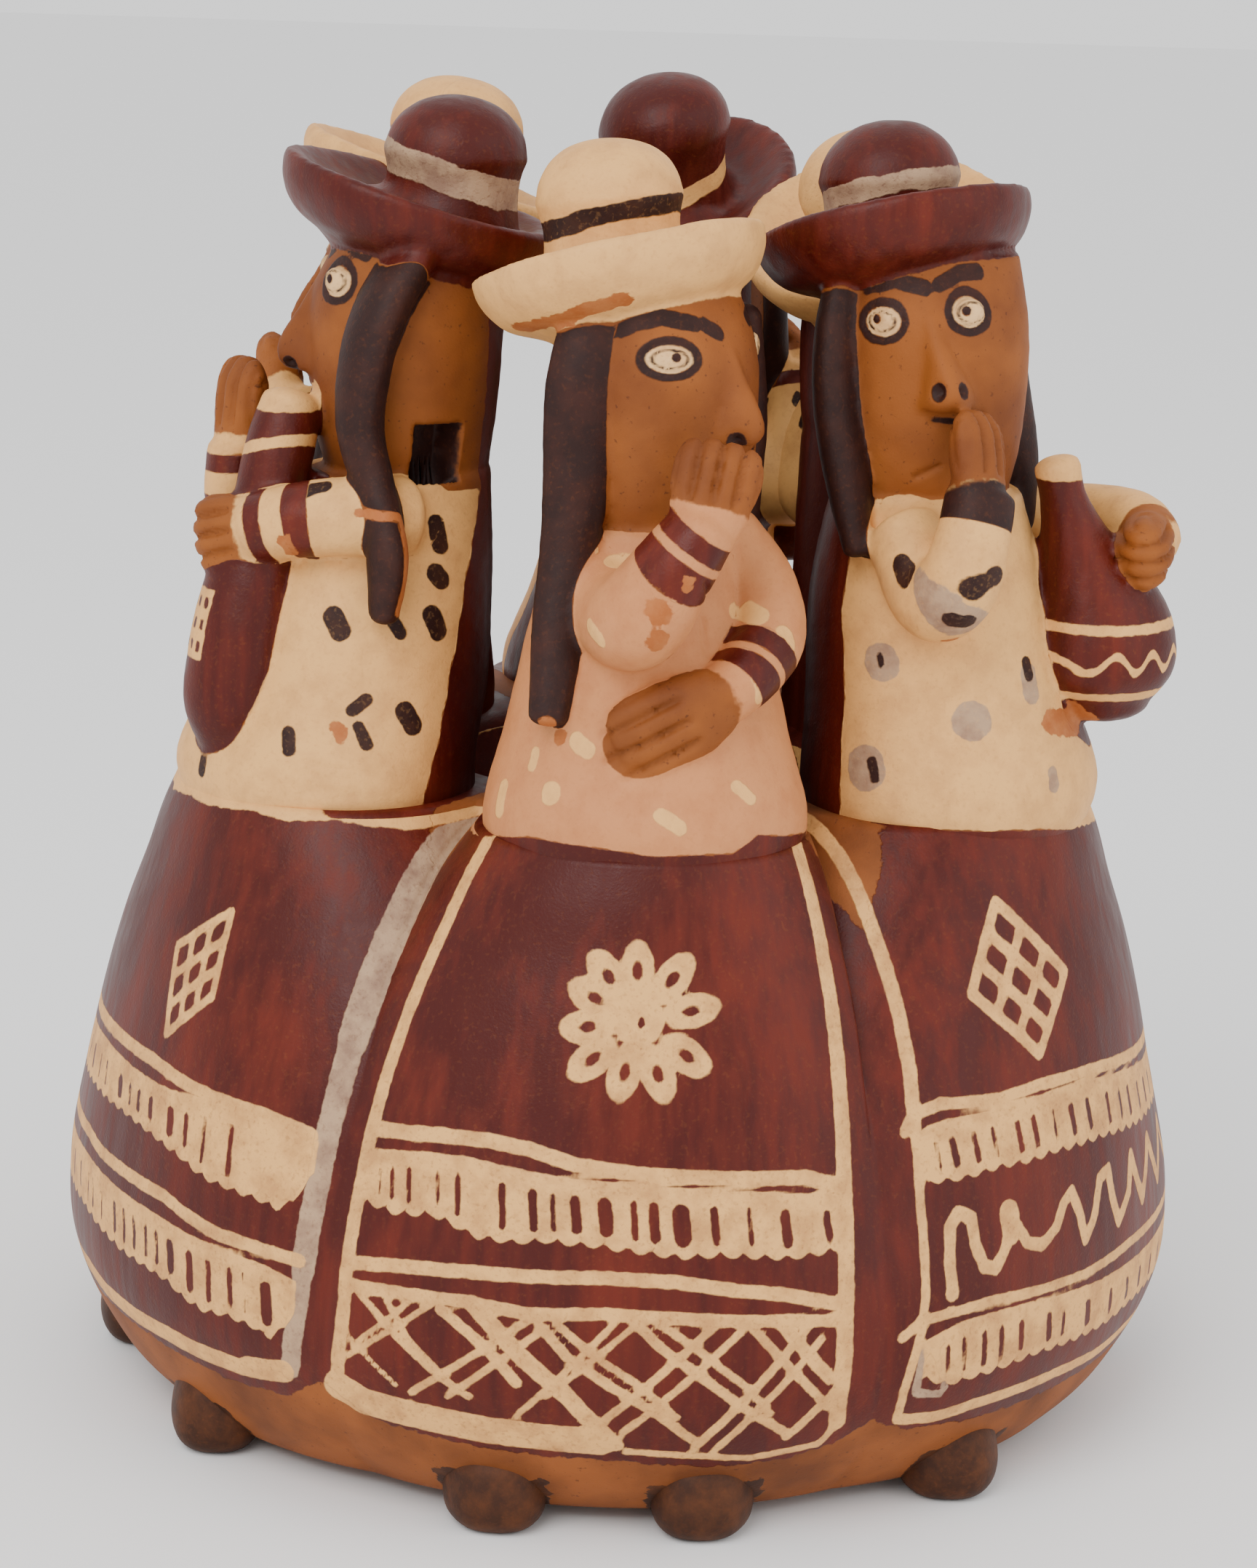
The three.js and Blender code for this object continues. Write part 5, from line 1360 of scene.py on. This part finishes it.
def painted_clay(name, groups, colours, coats, base="clay"):
    """A material of fired clay under coats of slip, from the lowest up: (attribute, kind, settings)."""
    material = bpy.data.materials.new(name)
    material.use_nodes = True
    tree = material.node_tree
    tree.nodes.clear()
    out = tree.nodes.new("ShaderNodeOutputMaterial")
    shader = linked(tree, "ShaderNodeBsdfPrincipled", {"Specular IOR Level": 0.22})
    tree.links.new(shader.outputs[0], out.inputs[0])
    place_node = linked(tree, "ShaderNodeTexCoord")
    vector = place_node.outputs["Object"]

    def colour(key):
        return (*getattr(colours, key), 1.0)

    clay = linked(tree, "ShaderNodeGroup", node_tree=groups["clay"])
    tree.links.new(vector, clay.inputs["Vector"])
    clay.inputs["Clay"].default_value = colour(base)
    clay.inputs["Scorched"].default_value = colour(base + "_dark")
    clay.inputs["Speckle"].default_value = colour("speckle")
    slip = linked(tree, "ShaderNodeGroup", node_tree=groups["slip"])
    tree.links.new(vector, slip.inputs["Vector"])
    slip.inputs["Deep"].default_value = colour("slip_deep")
    slip.inputs["Light"].default_value = colour("slip_light")
    below, rough, height = clay.outputs["Color"], 0.66, clay.outputs["Height"]
    for attribute, kind, settings in coats:
        mask = linked(tree, "ShaderNodeAttribute", attribute_name=attribute)
        coat = linked(tree, "ShaderNodeGroup", node_tree=groups["brush"])
        tree.links.new(vector, coat.inputs["Vector"])
        tree.links.new(mask.outputs["Fac"], coat.inputs["Distance"])
        tree.links.new(below, coat.inputs["Below"])
        tree.links.new(height, coat.inputs["Below height"])
        if isinstance(rough, float):
            coat.inputs["Below roughness"].default_value = rough
        else:
            tree.links.new(rough, coat.inputs["Below roughness"])
        if kind == "slip":
            tree.links.new(slip.outputs["Color"], coat.inputs["Paint"])
            tree.links.new(slip.outputs["Color"], coat.inputs["Thin paint"])
            tree.links.new(slip.outputs["Roughness"], coat.inputs["Paint roughness"])
        else:
            coat.inputs["Paint"].default_value = colour(kind)
            coat.inputs["Thin paint"].default_value = colour(kind + "_thin")
            coat.inputs["Paint roughness"].default_value = 0.58
        for key, value in settings.items():
            coat.inputs[key].default_value = value
        below, rough, height = coat.outputs["Color"], coat.outputs["Roughness"], coat.outputs["Height"]
    bump = linked(tree, "ShaderNodeBump", {"Strength": 0.8, "Distance": MM, "Height": height})
    tree.links.new(below, shader.inputs["Base Color"])
    tree.links.new(rough, shader.inputs["Roughness"])
    tree.links.new(bump.outputs[0], shader.inputs["Normal"])
    return material


def colour_prop(title, text, seen):
    """A colour that a user would change."""
    return bpy.props.FloatVectorProperty(name=title, description=text, subtype="COLOR", size=3, min=0, max=1,
                                         default=srgb(*seen))


class PotteryColours(bpy.types.PropertyGroup):
    """Colours of the clay and of the slips painted on it."""

    clay: colour_prop("Bare clay", "Fired clay where no slip lies", (140, 78, 34))
    clay_dark: colour_prop("Scorched clay", "Bare clay where the fire darkened it", (98, 52, 22))
    skin: colour_prop("Skin", "Polished clay of faces and hands", (140, 78, 30))
    skin_dark: colour_prop("Skin shade", "Darker places of the faces", (108, 56, 22))
    speckle: colour_prop("Speckle", "Grains in the clay", (70, 34, 18))
    slip_deep: colour_prop("Red slip", "Burnished red-brown slip", (66, 14, 8))
    slip_light: colour_prop("Red slip, light", "Red-brown slip where it is thin", (94, 28, 14))
    cream: colour_prop("Cream", "Cream slip", (224, 168, 100))
    cream_thin: colour_prop("Cream, thin", "Cream slip where it is thin", (184, 130, 78))
    pink: colour_prop("Pink", "Pinkish slip of the front blouse", (194, 128, 80))
    pink_thin: colour_prop("Pink, thin", "Pinkish slip where it is thin", (178, 110, 66))
    grey: colour_prop("Grey", "Thin cream slip that looks grey over the red", (172, 140, 110))
    grey_thin: colour_prop("Grey, thin", "The greyest places", (132, 100, 82))
    # This dark colour also serves as painted shade in the nostril pits, the vent and the rings in the eyes.
    dark: colour_prop("Dark", "Purple-brown slip of hair and spots", (38, 16, 12))
    dark_thin: colour_prop("Dark, thin", "Dark slip where it is thin", (58, 26, 18))
    white: colour_prop("White", "White of the eyes", (226, 182, 126))
    white_thin: colour_prop("White, thin", "White where it is thin", (196, 146, 96))
    rubbed: colour_prop("Rubbed clay", "Clay where the slip has rubbed off", (160, 88, 40))
    rubbed_thin: colour_prop("Rubbed clay, light", "Lighter rubbed clay", (182, 116, 66))
    foot: colour_prop("Feet", "Dark olive-brown slip of the feet", (54, 28, 14))
    foot_thin: colour_prop("Feet, thin", "Foot slip where it is thin", (82, 44, 20))


class PotterySizes(bpy.types.PropertyGroup):
    """Sizes of the working of the clay."""

    voxel: bpy.props.FloatProperty(name="Clay detail",
        description="Size of the finest form of the women in front",
                                   default=0.00056, min=0.0003, max=0.002, unit="LENGTH")
    voxel_back: bpy.props.FloatProperty(name="Clay detail, back",
        description="The same for the women at the back",
                                        default=0.0008, min=0.0003, max=0.002, unit="LENGTH")
    unevenness: bpy.props.FloatProperty(name="Unevenness", description="Hand-made waviness of the skirts",
                                        default=0.0003, min=0, max=0.002, unit="LENGTH")


class PotteryStage(bpy.types.PropertyGroup):
    """Camera, floor and light."""

    distance: bpy.props.FloatProperty(name="Camera distance", description="From the middle of the object",
                                      default=0.69079, min=0.2, max=3, unit="LENGTH")
    elevation: bpy.props.FloatProperty(name="Camera elevation", description="Above the horizon",
                                       default=math.radians(13.69), subtype="ANGLE")
    roll: bpy.props.FloatProperty(name="Camera roll", description="Turn about its own axis",
                                  default=math.radians(1.722), subtype="ANGLE")
    key: bpy.props.FloatProperty(name="Key light", description="Power of the large light", default=8.0, min=0,
                                 unit="POWER")
    sky: bpy.props.FloatProperty(name="Surround", description="Strength of the white surround",
        default=1.25, min=0)


GROUPS = {}


def shader_groups():
    """The node groups, made once."""
    if not GROUPS:
        GROUPS.update(brush=brush_group(), clay=clay_group(), slip=burnish_group())
    return GROUPS


def show(mesh, material):
    """Puts a finished mesh in the scene at the origin as a piece of the figurine."""
    mesh.materials.clear()
    mesh.materials.append(material)
    obj = bpy.data.objects.new(mesh.name, mesh)
    bpy.context.scene.collection.objects.link(obj)
    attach(obj, "root")
    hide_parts("figurine")
    return obj


def figure_material():
    """The material of the women, made once."""
    found = bpy.data.materials.get("painted_figures")
    if found:
        return found
    coats = [(name, *settings) for name, settings in FIGURE_COATS.items()]
    return painted_clay("painted_figures", shader_groups(), bpy.context.scene.pottery_colours, coats, "skin")


class POTTERY_OT_skirts(bpy.types.Operator):
    """Build the bell of six skirts with its painted borders, fringes, lattice, lozenges and flower"""

    bl_idname = "pottery.skirts"
    bl_label = "Skirts"

    def execute(self, context):
        shell = skirts(context.scene.pottery_sizes)
        mesh = make_mesh("skirts", [shell])
        for name, values in skirt_paint(mesh_arrays(mesh)[0]).items():
            paint_mask(mesh, name, values)
        coats = [("slip_area", "slip", {"Ragged": 0.9, "Gaps": 0.12}),
                 ("thin", "grey", {"Ragged": 0.35, "Thinning": 0.8, "Gaps": 0.25}),
                 ("cream", "cream", {"Ragged": 0.24, "Thinning": 0.7, "Gaps": 0.25}),
                 ("blouse", "cream", {"Ragged": 0.4, "Thinning": 0.4}),
                 ("pink", "pink", {"Ragged": 0.4, "Thinning": 0.5}),
                 ("dark", "foot", {"Ragged": 1.6, "Thinning": 0.8})]
        show(mesh, painted_clay("painted_skirts", shader_groups(), context.scene.pottery_colours, coats))
        return {"FINISHED"}


class POTTERY_OT_feet(bpy.types.Operator):
    """Build the knob feet on which the bell stands"""

    bl_idname = "pottery.feet"
    bl_label = "Feet"

    def execute(self, context):
        profile = through(np.linspace(0, len(FOOT) - 1, 30), np.arange(len(FOOT)), FOOT)
        angle = np.linspace(0, 2 * math.pi, 48, endpoint=False)
        shells = []
        for number, azimuth in enumerate(FEET):
            rng = np.random.default_rng(40 + number)
            lobes = 1 + rng.uniform(0.02, 0.06) * np.sin(2 * angle + rng.uniform(0,
                6)) + 0.02 * np.sin(5 * angle)
            rings = np.stack([profile[:, :1] * np.cos(angle) * lobes, profile[:, :1] * np.sin(angle) * lobes,
                              np.repeat(profile[:, 1:], 48, 1)], -1)
            centre = place([0, FOOT_RING, 0], azimuth)
            rings = rings + centre
            shells.append(skin(rings, centre, centre + [0, 0, FOOT[-1][1]]))
        mesh = make_mesh("feet", shells)
        points = mesh_arrays(mesh)[0]
        paint_mask(mesh, "dark", np.full(len(points), -2.0) + 1.6 * wander(points, 9, 8))
        coats = [("dark", "foot", {"Ragged": 0.8, "Thinning": 0.9})]
        show(mesh, painted_clay("painted_feet", shader_groups(), context.scene.pottery_colours, coats))
        return {"FINISHED"}


class POTTERY_OT_front_women(bpy.types.Operator):
    """Build the three women in view, with their hats, braids, hands, jug and bottle"""

    bl_idname = "pottery.front_women"
    bl_label = "Women in front"

    def execute(self, context):
        sizes = context.scene.pottery_sizes
        for woman in (FRONT, RIGHT, LEFT):
            show(build_woman(woman, sizes.voxel), figure_material())
        return {"FINISHED"}


class POTTERY_OT_back_women(bpy.types.Operator):
    """Build the three plainer women at the back, with the baby and the pot"""

    bl_idname = "pottery.back_women"
    bl_label = "Women at the back"

    def execute(self, context):
        sizes = context.scene.pottery_sizes
        for woman in (BACK_RIGHT, BACK, BACK_LEFT):
            show(build_woman(woman, sizes.voxel_back), figure_material())
        return {"FINISHED"}


class POTTERY_OT_stage(bpy.types.Operator):
    """Set up the camera, the pale floor and the soft light"""

    bl_idname = "pottery.stage"
    bl_label = "Stage"

    def execute(self, context):
        stage = context.scene.pottery_stage
        camera = bpy.data.cameras.new("camera")
        camera.lens = 36 * 6058.75 / PHOTO_HEIGHT
        camera.sensor_width = 36
        camera.clip_start = 0.01
        view = bpy.data.objects.new("camera", camera)
        context.scene.collection.objects.link(view)
        e, roll = stage.elevation, stage.roll
        back = np.array([0, -math.cos(e), math.sin(e)])
        right0, up0 = np.array([1.0, 0, 0]), np.array([0, math.sin(e), math.cos(e)])
        right = right0 * math.cos(roll) + up0 * math.sin(roll)
        up = up0 * math.cos(roll) - right0 * math.sin(roll)
        where = np.array([-0.0002085, 0, 0.093094]) + back * stage.distance
        matrix = np.eye(4)
        matrix[:3, 0], matrix[:3, 1], matrix[:3, 2], matrix[:3, 3] = right, up, back, where
        view.matrix_world = Matrix(matrix.tolist())
        context.scene.camera = view
        grid = np.linspace(-3, 3, 5)
        xs, ys = np.meshgrid(grid, grid)
        points = np.stack([xs, ys, np.zeros_like(xs)], -1).reshape(-1, 3)
        index = np.arange(25).reshape(5, 5)
        quads = np.stack([index[:-1, :-1], index[:-1, 1:], index[1:, 1:], index[1:, :-1]], -1).reshape(-1, 4)
        mesh = bpy.data.meshes.new("floor")
        mesh.from_pydata(points.tolist(), [], quads.tolist())
        floor = bpy.data.objects.new("floor", mesh)
        context.scene.collection.objects.link(floor)
        pale = bpy.data.materials.new("pale_floor")
        pale.use_nodes = True
        pale.node_tree.nodes["Principled BSDF"].inputs["Base Color"].default_value = (0.9, 0.9, 0.9, 1)
        pale.node_tree.nodes["Principled BSDF"].inputs["Roughness"].default_value = 0.9
        mesh.materials.append(pale)
        for name, power, size, spot in (("key", stage.key, 0.7, (-0.35, -0.75, 0.85)),
                                        ("fill", stage.key * 0.35, 0.9, (0.8, -0.5, 0.45))):
            light = bpy.data.lights.new(name, "AREA")
            light.energy, light.size = power, size
            lamp = bpy.data.objects.new(name, light)
            lamp.location = spot
            aim = np.array([0, 0, 0.1]) - np.array(spot)
            aim /= np.linalg.norm(aim)
            side = np.cross(aim, [0, 0, 1])
            side /= np.linalg.norm(side)
            turn = np.eye(4)
            turn[:3, 0], turn[:3, 1], turn[:3, 2], turn[:3, 3] = side, np.cross(side, aim), -aim, spot
            lamp.matrix_world = Matrix(turn.tolist())
            context.scene.collection.objects.link(lamp)
        world = bpy.data.worlds.new("surround")
        world.use_nodes = True
        world.node_tree.nodes["Background"].inputs["Color"].default_value = (1, 1, 1, 1)
        world.node_tree.nodes["Background"].inputs["Strength"].default_value = stage.sky
        context.scene.world = world
        return {"FINISHED"}


class POTTERY_PT_panel(bpy.types.Panel):
    """The steps of the pottery group, in the sidebar of the 3D view"""

    bl_idname = "POTTERY_PT_panel"
    bl_label = "Pottery group"
    bl_space_type = "VIEW_3D"
    bl_region_type = "UI"
    bl_category = "Pottery"

    def draw(self, context):
        for name in STEPS:
            self.layout.operator(name)


STEPS = ("pottery.skirts", "pottery.feet", "pottery.front_women", "pottery.back_women", "pottery.stage")
CLASSES = (PotteryColours, PotterySizes, PotteryStage, POTTERY_OT_skirts, POTTERY_OT_feet,
    POTTERY_OT_front_women,
           POTTERY_OT_back_women, POTTERY_OT_stage, POTTERY_PT_panel)


def register():
    for made in CLASSES:
        bpy.utils.register_class(made)
    bpy.types.Scene.pottery_colours = bpy.props.PointerProperty(type=PotteryColours)
    bpy.types.Scene.pottery_sizes = bpy.props.PointerProperty(type=PotterySizes)
    bpy.types.Scene.pottery_stage = bpy.props.PointerProperty(type=PotteryStage)


def unregister():
    del bpy.types.Scene.pottery_colours, bpy.types.Scene.pottery_sizes, bpy.types.Scene.pottery_stage
    for made in reversed(CLASSES):
        bpy.utils.unregister_class(made)


def main():
    register()
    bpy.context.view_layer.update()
    bpy.ops.pottery.skirts()
    bpy.ops.pottery.feet()
    bpy.ops.pottery.front_women()
    bpy.ops.pottery.back_women()
    bpy.ops.pottery.stage()


if __name__ == "__main__":
    main()
